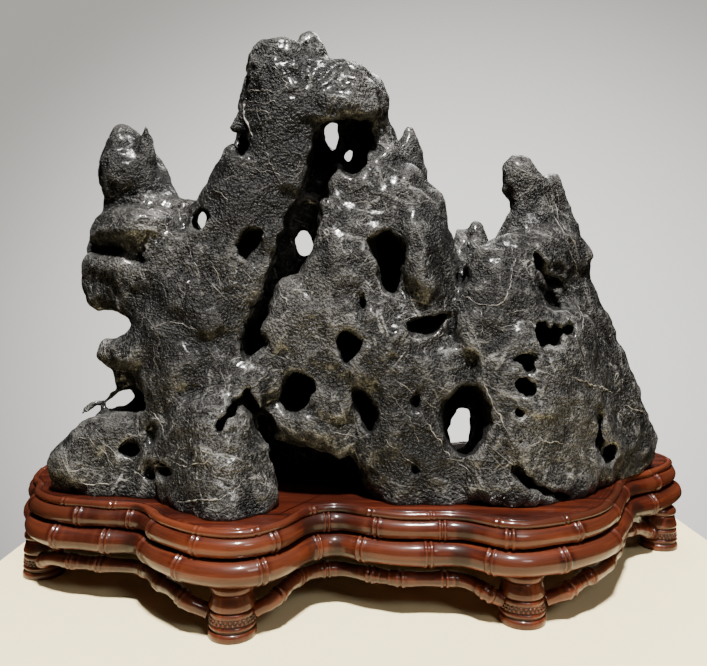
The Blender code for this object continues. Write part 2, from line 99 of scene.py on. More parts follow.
# The rock's masses, each a convex skin over balls of x, y, z and radius
MASSES = dict(read_rows("""
left crown: -222 -18 421 13, -224 -20 392 22, -223 -20 379 24, -206 -25 395 13, -205 -27 380 13,
  -198 -18 371 14, -237 5 391 19, -211 8 383 18;
left shoulder: -207 12 410 7, -199 12 393 9, -189 10 373 9, -183 5 357 10, -200 -12 365 14,
  -208 15 384 16;
left waist: -228 -18 357 16, -211 -20 356 14, -235 5 353 17, -197 -22 353 15, -188 0 347 20;
upper boss: -234 -24 339 12, -242 -24 324 12, -222 -36 323 10, -202 -52 331 17, -189 -50 329 17,
  -174 -42 319 15, -243 5 332 18, -177 5 330 24;
lower boss: -249 -24 297 11, -251 -20 264 7, -236 -22 261 8, -214 -46 291 13, -219 -38 261 9,
  -206 -45 254 8, -176 -46 277 19, -252 5 280 18, -191 8 274 34;
left flank: -182 -42 298 21, -145 -50 298 24, -192 -40 255 13, -186 -42 234 15, -135 -64 245 25,
  -178 20 301 31, -189 20 262 33, -153 20 262 41;
left root: -180 -40 250 30, -150 -60 200 35, -165 -50 150 30, -150 20 200 45, -160 20 130 45;
saddle: -171 -8 345 13, -154 -18 346 11, -140 -26 353 8, -159 -20 324 19;
ledge: -227 -40 215 13, -192 -57 216 19, -165 -40 215 30, -190 -20 200 20;
foot a: -258 -48 111 24, -262 -42 96 22, -236 -45 142 18, -205 -50 138 21, -195 -54 94 22,
  -235 -54 94 20, -240 15 95 32, -200 25 130 35;
foot saddle: -178 -56 96 26, -172 -55 150 24, -160 -20 120 30;
foot b: -104 -116 92 27, -142 -84 92 27, -88 -104 94 25, -114 -98 150 28, -140 -70 160 30,
  -130 -30 100 40;
foot b shaft: -134 -58 246 17, -100 -66 239 7, -102 -78 192 7, -89 -88 158 7, -78 -98 130 7,
  -74 -108 103 8, -93 -116 92 11, -126 -106 93 11, -157 -92 101 10, -173 -76 127 12,
  -159 -58 189 20, -159 -20 146 45;
ridge slab: -119 -45 390 10, -128 -45 371 7, -134 -40 353 8, -104 -62 383 13, -135 -52 323 11,
  -60 -58 350 11, -69 -58 329 11, -83 -64 301 13, -94 -66 270 11, -101 -66 247 8, -146 -52 298 20,
  -135 -60 263 20, -114 0 322 30, -138 0 372 10;
main slab: -84 -52 483 9, -88 -52 468 7, -92 -52 450 7, -96 -48 433 7, -95 -44 413 8,
  -101 -44 394 9, -71 -56 447 17, -46 -61 446 13, -46 -61 418 11, -47 -62 392 10, -52 -62 367 9,
  -81 -55 385 18, -91 -5 471 20, -98 0 402 22, -54 0 442 20;
main crown: -80 -50 493 10, -71 -49 497 11, -59 -51 491 11, -94 -42 481 8, -49 -54 475 13,
  -68 -56 465 13, -31 -50 476 12, -83 -8 497 14, -43 -8 490 18;
peak shoulder: -12 -48 475 12, 6 -46 468 13, 15 -44 460 12, 21 -42 445 11, -29 -50 472 15,
  -17 -60 450 13, 8 -58 446 12, -8 -10 474 18, 16 -8 465 16;
brow: -34 -68 444 7, -21 -70 440 8, -3 -68 438 8, 17 -58 439 8, -12 -60 455 11, -32 -62 425 7;
right post: 25 -34 436 7, 30 -30 421 9, 31 -28 406 10, 25 -34 384 12, 41 -30 398 9, 35 5 385 18,
  30 0 427 10;
peak back: -45 10 420 25, 10 15 420 22, -50 20 380 25, 25 20 375 28, -60 20 340 25, 20 20 340 30;
upper centre: 51 -42 383 8, 62 -44 370 10, 72 -44 357 12, 43 -56 373 7, -11 -57 358 9,
  21 -56 360 11, 35 -60 353 9, -19 -64 341 8, -20 -68 308 10, -17 -74 276 13, 17 -70 297 11,
  11 -72 270 11, 79 -46 334 11, 12 0 332 40, 57 5 353 30;
nose: 47 -60 354 7, 57 -58 358 9, 72 -52 344 11, 55 -68 322 13, 76 -56 325 11, 80 -56 303 11,
  57 -76 297 12, 80 -58 285 12, 59 -78 281 12, 82 -56 260 11, 53 -64 265 7, 66 -66 260 11,
  76 0 312 24, 86 0 272 26;
heart: -57 -66 272 11, -41 -64 281 9, -64 -70 252 12, -44 -70 256 16, -23 -70 263 13,
  -72 -70 229 12, -50 -72 223 16, -26 -72 236 11, -51 -30 253 29;
middle: -50 -60 250 28, -60 -58 215 26, 0 -66 250 26, 60 -58 240 28, 20 -66 200 28, -50 -60 185 24,
  0 20 230 50;
arch lip: -72 -68 156 16, -40 -76 150 15, -10 -76 140 16, -30 -30 175 25, -60 -20 150 20;
arch shoulder: -88 -72 205 12, -86 -76 176 13, -66 -70 205 14, -80 -40 190 20;
front post: 36 -74 200 22, 36 -78 150 24, 34 -62 94 22, 46 -80 94 22, 90 -76 94 24, 80 -60 200 28,
  40 -30 150 30, 12 -76 134 16;
cleft wall: -70 30 95 34, -66 25 300 28, -10 30 95 34, -40 30 320 28;
right shoulder: 124 -54 302 14, 151 -44 313 13, 133 -66 263 18, 106 -62 258 13, 112 -72 227 18,
  152 -60 263 20, 149 -10 272 34, 113 -20 243 29, 166 0 302 20;
right shaft: 142 -28 300 22, 165 -35 300 28, 190 -15 315 26, 212 -4 306 24, 170 5 255 42,
  214 4 275 24;
right neck: 168 -18 345 16, 184 -12 345 18, 194 -8 325 19, 156 -20 318 18;
right peak: 160 -18 385 15, 184 -14 371 12, 166 -20 352 14, 184 -12 350 14;
right front: 137 -94 99 21, 196 -66 96 18, 205 -60 102 16, 219 -52 142 13, 215 -48 188 15,
  206 -42 234 19, 154 -84 179 23, 188 -64 172 25, 130 -78 210 20, 161 -62 245 22, 103 -84 105 21,
  190 -56 226 22, 206 0 122 60, 186 0 212 50;
right flank: 212 4 272 25, 243 12 222 24, 271 24 160 25, 289 36 112 26, 198 -10 250 30,
  210 -20 120 30, 188 20 230 45;
right heel: 290 36 112 26, 287 40 94 26, 244 0 94 27, 239 60 100 40;
back left: -130 80 95 38, -190 50 95 40, -120 55 200 38, -160 40 260 36, -110 30 320 36;
back middle: -20 70 95 34, 50 65 95 36, 30 45 230 42, -30 45 250 40, 40 25 330 34;
back right: 150 80 95 38, 210 66 95 38, 150 50 220 40, 195 30 255 32, 160 15 300 30;
back bridge: -90 50 150 40, 110 50 190 38, 0 50 200 45, 90 40 270 30;
back knuckle high: -75 28 400 16, -60 40 360 20, -80 20 350 26;
back knuckle low: 30 92 190 20, 5 84 160 22, 40 60 170 30;
back rib: -150 78 260 14, -138 96 190 16, -150 104 120 20, -140 50 200 30;
back shelf: 190 84 180 16, 150 92 172 16, 170 60 190 24;
boss top: -203 -34 346 11, -195 -8 357 16, -178 -14 343 18, -161 -26 322 17, -190 5 348 22,
  -256 -4 313 9;
crown apron: -49 -56 467 13, -32 -60 459 12, -21 -64 445 9, -49 -58 451 11, -38 -63 441 8;
hollow wall: -4 8 446 16, 19 8 436 16, -2 8 414 16, 19 8 398 18, -19 8 452 14, -29 8 398 18,
  -36 10 434 12, -4 45 442 17, 12 45 421 19;
oval back: 90 30 163 15, 94 30 136 13, 101 30 180 15, 127 30 176 15, 140 30 147 15, 134 30 116 13,
  111 30 91 13;
heart shoulder: -30 -66 305 7, -37 -67 293 6, -25 -69 295 8, -26 -66 317 6, -32 -74 276 9,
  -34 -30 286 19;
arch wall: -30 -74 197 11, -6 -76 194 11, -28 -80 176 11, -8 -82 174 11, -24 -82 164 10,
  -7 -82 164 9, -18 -20 180 29;
boss body: -195 -44 313 13, -172 -46 309 19, -148 -48 307 19, -191 -44 298 13, -167 -46 277 19,
  -232 12 308 14, -198 15 308 31, -248 0 306 11, -230 -18 299 10;
gap back: -209 20 163 14, -215 12 180 12, -226 22 146 9, -239 20 150 8, -188 10 160 25,
  -210 22 142 14;
socket wall: -15 -54 370 9, 8 -54 366 11, 28 -48 378 11, 21 -42 396 7, 30 -36 412 8, 17 -48 384 7,
  -15 -44 383 6, 12 5 388 26, -8 0 397 14;
centre wall: -20 -68 308 10, 17 -68 304 11, -18 -74 232 11, 17 -74 236 11, 42 -72 247 9,
  37 -76 218 11, -8 -78 263 9, 6 -20 272 33;
slab blend: -127 -62 263 18, -103 -66 257 9, -140 -60 240 18, -113 -68 222 11, -134 -68 200 16,
  -160 -56 221 18, -139 -20 233 29;
"""))

# Small forms that are melted on after the masses have run together
CRESTS = dict(read_rows("""
left fin: -198 -34 427 2.7, -203 -33 415 2.9, -201 -30 404 6, -197 -22 382 9, -204 -5 411 5,
  -212 -5 396 12;
main tip: -40 -38 507 11, -47 -40 502 9, -33 -40 497 9, -31 -30 494 9, -46 -35 491 13;
back spur: 57 16 434 7, 50 14 423 6, 62 16 415 8, 57 10 398 12, 49 5 388 14, 65 12 372 12;
centre ridge: -29 -66 354 4.5, -29 -66 335 5, -26 -68 314 4.5, -22 -50 335 9;
jagged bump: 13 -86 242 3.5, 20 -88 231 4.4, 34 -90 230 4.4, 43 -88 237 3.5, 47 -84 219 4.4,
  48 -80 197 5, 23 -84 200 11, 10 -80 217 7, 30 -30 215 19;
right peak cheek: 148 -20 369 6, 152 -20 375 7, 159 -15 368 12;
twin knob left: 113 38 332 7, 113 34 318 7, 112 20 301 11;
twin knob right: 129 38 339 9, 131 36 322 9, 125 25 303 14;
boss corner: -254 -20 260 4.4, -251 -16 257 4.4, -234 -18 256 4.9, -257 -20 280 4.9,
  -239 -34 270 10, -240 -5 264 12;
ledge tip: -241 -20 212 4.4, -242 -20 203 4.4, -229 -20 197 6, -231 -20 220 4.9, -227 -20 202 8,
  -228 -10 213 8;
notch corner: -215 -24 236 3.4, -206 -26 245 6, -215 -20 247 4.9, -206 -20 237 6;
neck rim: -110 -46 410 2.8, -114 -46 405 4.2, -118 -46 396 7, -107 -42 396 8, -101 -44 389 9;
slab tip: -111 -50 423 4.2, -105 -48 427 4.7, -99 -48 442 4.7, -95 -46 423 7, -93 -44 446 8;
notch tendril: -256 -40 148 3.2, -251 -40 160 2.8, -248 -38 164 3;
notch tendril b: -248 -38 164 3, -234 -36 166 3.2;
notch tendril c: -237 -34 164 3, -230 -32 171 3.1, -223 -28 177 3.3;
ledge root: -224 -22 192 8, -221 -20 181 7, -224 -26 178 2.9, -208 -18 186 12, -201 -10 187 16;
notch tendril d: -260 -42 140 3.8, -255 -40 149 3.2;
right peak tip: 156 -22 397 5.3, 166 -22 395 5.3, 155 -20 387 8, 172 -20 385 8, 164 -10 376 12;
right ridge: 198 -12 383 4.4, 197 -12 358 3.9, 202 -10 337 4.9, 215 -8 317 6, 228 -6 302 6,
  214 -10 300 15, 187 -10 371 12;
"""))

# Round hollows, each a skin over balls that is cut away
BURROWS = dict(read_rows("""
cave: -42 -120 106 24, -22 -120 98 22, -42 -34 104 22, -22 -34 96 20;
foot crease: -186 -100 118 8, -176 -112 96 10, -180 -76 108 6;
right crease: 226 -60 160 5, 224 -64 118 7, 226 -34 130 5;
back cave: -62 140 100 26, -60 60 95 18;
back pocket: 92 130 230 18, 100 70 226 12;
back bowl: -6 130 300 24, 0 70 292 14;
back slot: 175 140 250 10, 182 140 215 12, 178 66 232 8;
left bowl: -178 110 320 20, -176 66 312 14;
"""))

# Angular holes: x and z of the mouth's corners, and last the y of the mouth, the y of the
# end, the end's size against the mouth, how far off the end lies in x and z, and the
# radius of the corners
HOLES = dict(read_rows("""
foot fold: -95 185, -92 182, -103 167, -115 151, -119 149, -115 157, -106 171, -92 -82 .3 -3 0 .6;
foot side fold: -179 156, -175 157, -175 140, -179 128, -181 140, -84 -70 .51 -6 -3 1;
knob gap: 116 343, 118 335, 118 324, 117 320, 116 332, 20 60 1.05 6 3 .1;
valley pocket: 92 289, 97 295, 104 292, 101 280, 97 272, 93 278, -64 -30 .63 5 1 1.5;
neck notch: -103 408, -100 410, -97 403, -98 397, -101 393, -103 399, -68 -26 .85 -7 9 1.5;
saddle slit: -131 341, -130 337, -131 333, -133 327, -135 330, -134 337, -76 110 1.42 -39 18 .4;
saddle pocket: -140 339, -134 343, -133 336, -135 327, -138 325, -141 332, -76 -30 .75 -10 4 1.5;
crown crease: -222 352, -213 351, -200 351, -188 353, -186 350, -200 347, -214 347,
  -60 -36 .73 -8 6 .8;
boss slit tail: -197 306, -190 302, -185 296, -190 296, -197 300, -70 -48 .72 -7 1 .8;
left eye: -100 312, -96 320, -89 324, -83 323, -84 315, -92 305, -98 300, -101 305,
  -72 -28 .75 -9 5 2;
left eye lip: -81 318, -76 310, -78 298, -85 290, -91 294, -89 306, -84 -70 .41 -9 4 3;
top hollow: -23 415, -14 421, -2 422, 9 421, 17 419, 16 409, 12 399, -7 400, -24 400, -27 407,
  -74 -14 .93 -2 10 3;
cleft upper: -31 407, -12 395, -20 386, -23 372, -29 355, -44 357, -38 377, -35 395,
  -74 0 .95 -3 13 2.5;
cleft middle: -45 354, -31 352, -35 340, -34 326, -53 320, -59 326, -53 340, -74 -6 .89 -5 7 2.5;
cleft low: -60 325, -50 325, -52 299, -52 287, -61 291, -69 299, -65 315, -74 -20 .81 -5 3 2.5;
cleft tail: -70 298, -62 288, -70 275, -75 261, -81 263, -77 278, -73 291, -78 -38 .74 -5 0 2;
cleft root: -82 262, -76 258, -85 240, -93 220, -99 226, -95 243, -78 -40 .74 -5 -2 2;
cleft end: -91 236, -82 237, -76 224, -86 220, -93 210, -97 220, -84 -48 .74 -5 -3 2;
first window: -28 423, -22 427, -15 427, -14 417, -18 408, -23 412, -20 120 1.32 -4 30 1.5;
round socket: -10 394, -5 400, 3 400, 10 395, 12 386, 6 378, -2 376, -9 381, -12 388,
  -60 -8 .86 0 9 2;
second window: -8 399, -6 404, -3 406, -1 402, -3 397, -7 397, -20 120 1.32 -1 26 1.5;
third window: -47 323, -43 324, -38 320, -36 314, -39 305, -45 303, -48 309, -50 316,
  -70 150 1.45 -15 15 2;
tunnel lip: -60 309, -51 313, -49 302, -45 295, -51 288, -58 295, -78 -30 .75 0 8 2;
tall hollow: 25 322, 31 322, 37 316, 42 306, 42 291, 40 276, 36 269, 31 271, 26 283, 23 297, 21 311,
  -76 -10 .94 3 3 3;
tall hollow side: 15 316, 21 321, 24 300, 20 300, -80 -45 .63 7 2 3;
nose undercut: 46 237, 53 241, 63 239, 73 242, 81 247, 82 242, 74 233, 63 230, 51 230,
  -92 -50 .85 4 7 1;
dark eye: -14 229, -9 235, -2 235, 8 226, 8 222, -1 216, -6 209, -11 219, -88 -40 .75 0 -4 2.5;
ledge crease: 4 264, 6 271, 9 262, 9 251, 6 246, 4 254, -90 -76 .61 2 3 1;
mouth: -62 180, -59 192, -52 199, -44 198, -37 192, -34 184, -41 176, -48 168, -58 170,
  -88 -30 .82 -5 -8 3;
slant slot: 0 185, 6 186, 13 176, 19 165, 18 155, 14 149, 8 158, 2 174, -92 -44 .75 1 -8 2;
big oval: 90 187, 98 190, 107 187, 113 176, 113 163, 108 146, 99 137, 87 137, 80 146, 78 160,
  82 175, -92 -40 .87 8 -9 3;
oval window: 96 157, 99 161, 105 161, 105 147, 103 135, 99 129, 92 131, 90 140,
  -50 175 1.37 34 -43 3;
side slot: -86 162, -79 165, -69 154, -67 146, -72 143, -79 147, -86 -45 .75 -5 -8 2;
boss slit: -235 308, -225 309, -212 308, -199 306, -194 302, -199 303, -212 305, -224 307,
  -60 -20 .85 -13 2 .6;
foot gap: -208 173, -204 179, -194 181, -187 174, -187 166, -197 164, -207 166,
  -66 0 1.05 -20 -10 2;
foot gap window: -225 167, -220 171, -217 175, -214 173, -212 167, -214 163, -223 163,
  -20 130 1.34 -48 -23 1.5;
tendril gap: -244 154, -241 162, -236 164, -235 161, -240 156, -60 120 1.34 -66 -31 .6;
foot pit: -208 132, -201 136, -193 137, -193 128, -197 126, -202 130, -76 -50 .62 -8 -6 1.5;
small foot pit: -228 139, -225 140, -223 140, -226 138, -74 -60 .61 -5 -3 .8;
fold pit: -174 124, -170 127, -165 120, -157 121, -154 115, -161 110, -168 114,
  -104 -84 .62 -4 -3 1.5;
notch: -222 230, -208 242, -204 239, -208 234, -215 229, -60 60 1.19 -39 -7 1;
band a: 164 307, 167 304, 172 296, 173 289, 167 289, 164 296, -52 -30 .62 6 1 1;
band b: 169 290, 178 286, 189 279, 196 273, 186 271, 176 276, -62 -34 .63 8 0 1;
band c: 171 270, 178 274, 183 271, 178 263, 187 256, 191 252, 180 253, 172 261, -66 -36 .63 8 0 1;
band d: 163 243, 167 243, 168 226, 164 222, 161 231, -74 -46 .63 7 -2 1;
band e: 174 235, 179 242, 182 235, 180 224, 176 221, 173 226, -68 -44 .62 7 -2 1;
band f: 188 239, 194 241, 195 232, 190 232, -66 -42 .62 7 -1 1;
band g: 138 212, 147 215, 154 215, 160 212, 151 210, 142 209, -86 -60 .63 6 0 1;
band h: 149 213, 154 213, 154 202, 149 203, -86 -60 .63 6 -3 1;
band i: 141 190, 144 194, 150 194, 152 190, 151 184, 146 182, 143 186, -90 -66 .62 6 -3 1.5;
band j: 137 169, 140 172, 143 169, 142 164, 138 165, -92 -80 .61 3 -2 1;
band k: 136 155, 138 157, 139 153, 137 152, -96 -80 .62 4 -3 1;
band l: 139 144, 141 146, 142 143, 141 140, -98 -86 .61 3 -3 1;
heel pit: 234 122, 238 127, 243 129, 241 120, 236 112, 234 113, -44 -16 .63 10 -6 1.5;
crack a: 133 122, 138 122, 145 115, 155 107, 152 104, 141 110, -112 -92 .72 5 -5 .8;
crack b: 151 109, 158 106, 167 103, 166 98, 158 100, -108 -84 .73 6 -7 .6;
crack c: 168 100, 178 98, 189 94, 188 91, 176 94, 168 96, -98 -78 .72 6 -6 .6;
front pit a: 49 121, 52 124, 56 124, 54 119, 51 115, 50 115, -108 -90 .62 2 -5 1;
front pit b: 72 118, 74 120, 76 118, 75 116, -108 -94 .61 2 -4 1;
front fold: 54 182, 57 183, 57 175, 54 167, 52 174, -92 -76 .62 1 -2 1;
slab pit a: -55 406, -53 406, -53 404, -54 404, -76 -70 .61 -1 1 1;
slab crease: -42 442, -40 442, -42 436, -44 432, -44 434, -80 -66 .61 -1 4 .8;
foot cleft: -95 186, -91 185, -87 174, -83 167, -90 169, -95 177, -84 -50 .74 -5 -5 2;
"""))

# Calcite veins: the width, then the points that each runs through
VEINS = read_rows("""
1.7: 189 -89 197, 204 -79 191, 223 -63 184, 249 -25 173;
1.2: 264 -11 159, 277 -3 154, 295 14 148;
.8: 143 -61 312, 146 -67 299, 142 -73 285, 139 -80 275, 132 -84 262, 126 -84 259, 111 -79 260,
  98 -66 268;
.6: 129 -86 250, 145 -83 253, 160 -80 256;
.6: 131 -87 240, 144 -86 242, 159 -85 245;
1.3: 113 -96 189, 119 -101 175, 125 -104 163, 132 -109 150;
1.6: -147 -116 94, -138 -122 97, -130 -129 100, -118 -138 103, -108 -141 104, -102 -139 107,
  -97 -137 109, -93 -133 113, -90 -129 117;
.8: -156 -102 126, -149 -107 124, -141 -114 124, -132 -122 128, -124 -128 130, -113 -133 134,
  -104 -130 135;
2.0: -103 -51 448, -101 -55 440, -100 -56 430, -95 -62 420, -89 -65 408;
.8: -267 -70 110, -254 -74 110, -241 -73 111, -228 -72 110;
1.0: -250 -73 99, -231 -74 98, -213 -75 99, -204 -74 103, -196 -74 106;
.6: -83 -67 399, -75 -66 387, -70 -65 379, -63 -65 372;
.6: -48 -68 390, -53 -64 377, -60 -63 363;
.7: 32 -98 181, 44 -98 169, 53 -98 151, 57 -99 139;
.7: -181 -77 165, -171 -83 156, -162 -95 142;
.7: 57 -96 167, 69 -98 148, 85 -98 127, 100 -103 116;
1.0: 187 -23 378, 194 -22 363, 197 -23 349, 201 -31 331, 210 -32 318, 218 -28 303;
.9: 182 -28 374, 189 -26 357, 194 -31 337, 201 -39 319, 211 -32 299, 220 -22 282;
.7: 112 -80 256, 114 -86 241, 110 -88 224;
.6: 113 -85 247, 107 -82 251, 102 -80 249;
.7: 213 -32 262, 211 -58 244, 204 -71 234;
.6: 36 -96 194, 58 -91 178, 75 -91 167;
.6: -248 -15 384, -224 -43 376, -211 -40 383;
.6: -240 -28 358, -221 -37 364, -210 -38 376;
.6: -222 -56 329, -219 -55 320;
.6: -185 -65 334, -173 -58 332, -159 -65 317, -144 -74 308;
.7: -147 -72 308, -140 -77 294, -137 -78 283;
.7: -126 -71 362, -118 -75 359, -112 -76 352;
.6: -118 -72 370, -109 -74 374, -99 -74 372;
.6: -90 -77 283, -83 -69 272, -96 10 260;
.6: -101 -52 447, -82 -74 440, -65 -80 442;
.6: -99 -57 437, -86 -71 434, -73 -76 431;
.6: -98 -54 455, -82 -74 451, -68 -78 450;
.8: -77 -70 477, -68 -74 469, -62 -75 458, -57 -78 450;
.7: -66 -70 487, -57 -70 479, -51 -73 468;
.6: -97 -72 388, -89 -71 380, -76 -67 376;
.6: -21 -80 311, -3 -81 306, 8 -81 297;
.6: -182 -76 236, -163 -78 244, -138 -86 237;
.6: -132 -77 303, -124 -78 292, -115 -80 272;
.6: 140 -111 137, 159 -106 144, 185 -92 138;
.6: 27 -100 143, 40 -101 133, 57 -100 118;
.6: -238 -69 137, -224 -71 126, -217 -72 114;
.6: -8 -69 349, 8 -68 353, 24 -68 348;
""")

# Round pits at the back
PITS = (
    (-186, 92, 190, 15), (60, 98, 150, 16), (118, 96, 150, 13), (-90, 92, 250, 16),
    (214, 84, 140, 14),
)

# Where the skin is rough and knobbly: x, y, z and radius
ROUGH_ZONES = (
    (-75, -60, 478, 55), (-35, -60, 455, 55), (10, -60, 440, 45), (-185, -60, 326, 45),
    (-98, -110, 140, 55), (30, -80, 222, 45), (170, -40, 285, 42), (150, -90, 185, 40),
)

# Painted shade and painted light: zones that darken or lighten the rock's colour to match how
# brightly each part is lit; x, y, z and radius, then how much
PAINTED_LIGHTING_ZONES = (
    ((-70, -70, 410, 85), -0.4), ((-82, -60, 360, 65), -0.8), ((-70, -55, 462, 45), -0.3),
    ((-146, -60, 238, 75), -0.45), ((-221, -25, 390, 50), -0.4), ((127, -65, 248, 45), -0.35),
    ((64, -60, 312, 45), -0.4), ((48, -95, 145, 65), -0.5), ((-43, -80, 252, 60), 0.45),
    ((190, -70, 145, 90), 0.5), ((-230, -70, 120, 75), 0.2), ((-189, -60, 328, 52), 1.0),
    ((-98, -110, 140, 60), 0.3), ((10, -60, 435, 50), 0.3),
)

# The stand's outline, along the groove between the bead and the upper rail
OUTLINE = (
    (-326, 30), (-319, -4), (-304, -28), (-294, -54), (-266, -78), (-220, -91), (-184, -99),
    (-157, -133), (-119, -160), (-86, -165), (-58, -145), (-38, -111), (-14, -101), (14, -113),
    (40, -122), (88, -124), (124, -144), (158, -139), (208, -110), (239, -66), (270, -9), (307, 18),
    (342, 54), (349, 88), (335, 120), (303, 137), (268, 133), (220, 156), (160, 164), (100, 146),
    (40, 132), (-60, 154), (-130, 164), (-200, 148), (-240, 122), (-296, 110), (-325, 74),
)

# Where the feet stand, seen from above
FEET = {
    "foot_left": (-297, -27),
    "foot_front_left": (-96, -147),
    "foot_front_right": (139, -124),
    "foot_right": (324, 46),
    "foot_back_right": (186, 144),
    "foot_back_left": (-124, 147),
}

# The stems, each with the two feet that it joins
STEMS = {
    "stem_front_left": ("foot_left", "foot_front_left"),
    "stem_front": ("foot_front_left", "foot_front_right"),
    "stem_front_right": ("foot_front_right", "foot_right"),
    "stem_back_right": ("foot_right", "foot_back_right"),
    "stem_back": ("foot_back_right", "foot_back_left"),
    "stem_back_left": ("foot_back_left", "foot_left"),
}


# ------------------------------------------------------------------ shop helpers


def at(x: float, y: float, z: float) -> Vector:
    """Turn a point of the drawing into the model's metres.

    Args:
        x: millimetres along the rock.
        y: millimetres towards the back.
        z: millimetres above the ground.

    Returns:
        The same point in metres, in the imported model's frame.
    """
    return Vector(((x - CENTRE[0]) * MM, (y - CENTRE[1]) * MM, z * MM))


def deselect_all() -> None:
    """Leave nothing selected, so that the next operator acts on new work only."""
    if bpy.context.object and bpy.context.object.mode != "OBJECT":
        bpy.ops.object.mode_set(mode="OBJECT")
    bpy.ops.object.select_all(action="DESELECT")


def take(piece: Piece) -> None:
    """Select one piece alone and make it the active one.

    Args:
        piece: the piece to work on.
    """
    deselect_all()
    piece.select_set(True)
    bpy.context.view_layer.objects.active = piece


@contextmanager
def editing(piece: Piece, action: str = "SELECT") -> Iterator[None]:
    """Open one piece's mesh for editing, and close it again.

    Args:
        piece: the piece to edit.
        action: SELECT to start with all of it selected, DESELECT for none.
    """
    take(piece)
    bpy.ops.object.mode_set(mode="EDIT")
    bpy.ops.mesh.select_all(action=action)
    yield
    bpy.ops.object.mode_set(mode="OBJECT")


@contextmanager
def editing_open_edges(piece: Piece) -> Iterator[None]:
    """Open one piece's mesh with only the edges of its open ends selected.

    Args:
        piece: the piece to edit.
    """
    with editing(piece, "DESELECT"):
        bpy.ops.mesh.select_mode(type="EDGE")
        bpy.ops.mesh.select_non_manifold(extend=False)
        yield
        bpy.ops.mesh.select_mode(type="VERT")


def join_pieces(pieces: Sequence[Piece], name: str) -> Piece:
    """Join pieces into the first of them.

    Args:
        pieces: the pieces to join.
        name: the joined piece's name.

    Returns:
        The joined piece.
    """
    take(pieces[0])
    for piece in pieces[1:]:
        piece.select_set(True)
    if len(pieces) > 1:
        bpy.ops.object.join()
    joined = bpy.context.object
    joined.name = joined.data.name = name
    return joined


def settle(piece: Piece) -> None:
    """Put a piece's place, turn and size into its mesh."""
    take(piece)
    bpy.ops.object.transform_apply(location=True, rotation=True, scale=True)


def work(piece: Piece, kind: str, name: str, **settings: Any) -> None:
    """Add a modifier to a piece and apply it at once.

    Args:
        piece: the piece to change.
        kind: the modifier's type.
        name: what the step does to the piece.
        **settings: the modifier's own settings.
    """
    take(piece)
    step = piece.modifiers.new(name, kind)
    for key, value in settings.items():
        setattr(step, key, value)
    bpy.ops.object.modifier_apply(modifier=step.name)


def close_up(piece: Piece, distance: float = 0.00002) -> None:
    """Merge a piece's doubled points and turn its faces outwards.

    Args:
        piece: the piece to close.
        distance: how near two points are to count as one, in metres.
    """
    with editing(piece):
        bpy.ops.mesh.remove_doubles(threshold=distance)
        bpy.ops.mesh.normals_make_consistent(inside=False)


def shade_round(piece: Piece, crease: float | None = None) -> None:
    """Shade a piece as round.

    Args:
        piece: the piece.
        crease: edges sharper than this many degrees stay sharp; None keeps none.
    """
    take(piece)
    if crease is None:
        bpy.ops.object.shade_smooth()
    else:
        bpy.ops.object.shade_smooth_by_angle(angle=math.radians(crease))


def read_points(piece: Piece) -> np.ndarray:
    """Read where the points of a piece are.

    Args:
        piece: the piece.

    Returns:
        Rows of x, y and z in metres.
    """
    flat = np.empty(len(piece.data.vertices) * 3)
    piece.data.vertices.foreach_get("co", flat)
    return flat.reshape(-1, 3)


def skin_of(piece: Piece) -> BVHTree:
    """Return a piece's surface in a form that the nearest point can be found on."""
    return BVHTree.FromPolygons([vertex.co for vertex in piece.data.vertices],
                                [face.vertices for face in piece.data.polygons])


def closeness(points: np.ndarray, zone: Ball, slope: float) -> np.ndarray:
    """Say how far inside a zone each point lies.

    Args:
        points: rows of x, y and z in metres.
        zone: the zone, in the drawing's millimetres.
        slope: how steeply the values fall off towards the zone's edge.

    Returns:
        One number per point, 1 inside and 0 outside.
    """
    x, y, z, radius = zone
    reach = np.linalg.norm(points - np.array(at(x, y, z)), axis=1) / (radius * MM)
    return np.clip(slope - slope * reach, 0.0, 1.0)


def write_mask(piece: Piece, name: str, values: np.ndarray) -> None:
    """Store one value for each point of a piece, for its material to read.

    Args:
        piece: the piece.
        name: the attribute's name.
        values: one number per point.
    """
    layer = piece.data.attributes.new(name, "FLOAT", "POINT")
    layer.data.foreach_set("value", values.astype(np.float32))


def spread(piece: Piece, values: np.ndarray, rounds: int) -> np.ndarray:
    """Even out values over a piece by averaging each point with its neighbours.

    Args:
        piece: the piece whose edges say which points are neighbours.
        values: one number per point.
        rounds: how many times to average.

    Returns:
        The evened values.
    """
    ends = np.empty(len(piece.data.edges) * 2, dtype=np.int64)
    piece.data.edges.foreach_get("vertices", ends)
    first, second = ends[0::2], ends[1::2]
    size = len(values)
    count = np.bincount(ends, minlength=size).clip(1)
    for _ in range(rounds):
        total = (np.bincount(first, weights=values[second], minlength=size)
                 + np.bincount(second, weights=values[first], minlength=size))
        values = 0.5 * values + 0.5 * total / count
    return values


def store_relief(piece: Piece, reach: int, full: float) -> None:
    """Store how far each point stands out of or sinks into the surface round it.

    Args:
        piece: the piece.
        reach: how many neighbours away the surface is compared with.
        full: the height in millimetres that counts as fully proud or fully sunk.
    """
    points = read_points(piece)
    normals = np.empty(len(points) * 3)
    piece.data.vertex_normals.foreach_get("vector", normals)
    normals = normals.reshape(-1, 3)
    smooth = np.stack([spread(piece, points[:, k], reach) for k in range(3)], axis=1)
    height = ((points - smooth) * normals).sum(axis=1)
    write_mask(piece, "relief", np.clip(0.5 + 0.5 * height / (full * MM), 0.0, 1.0))


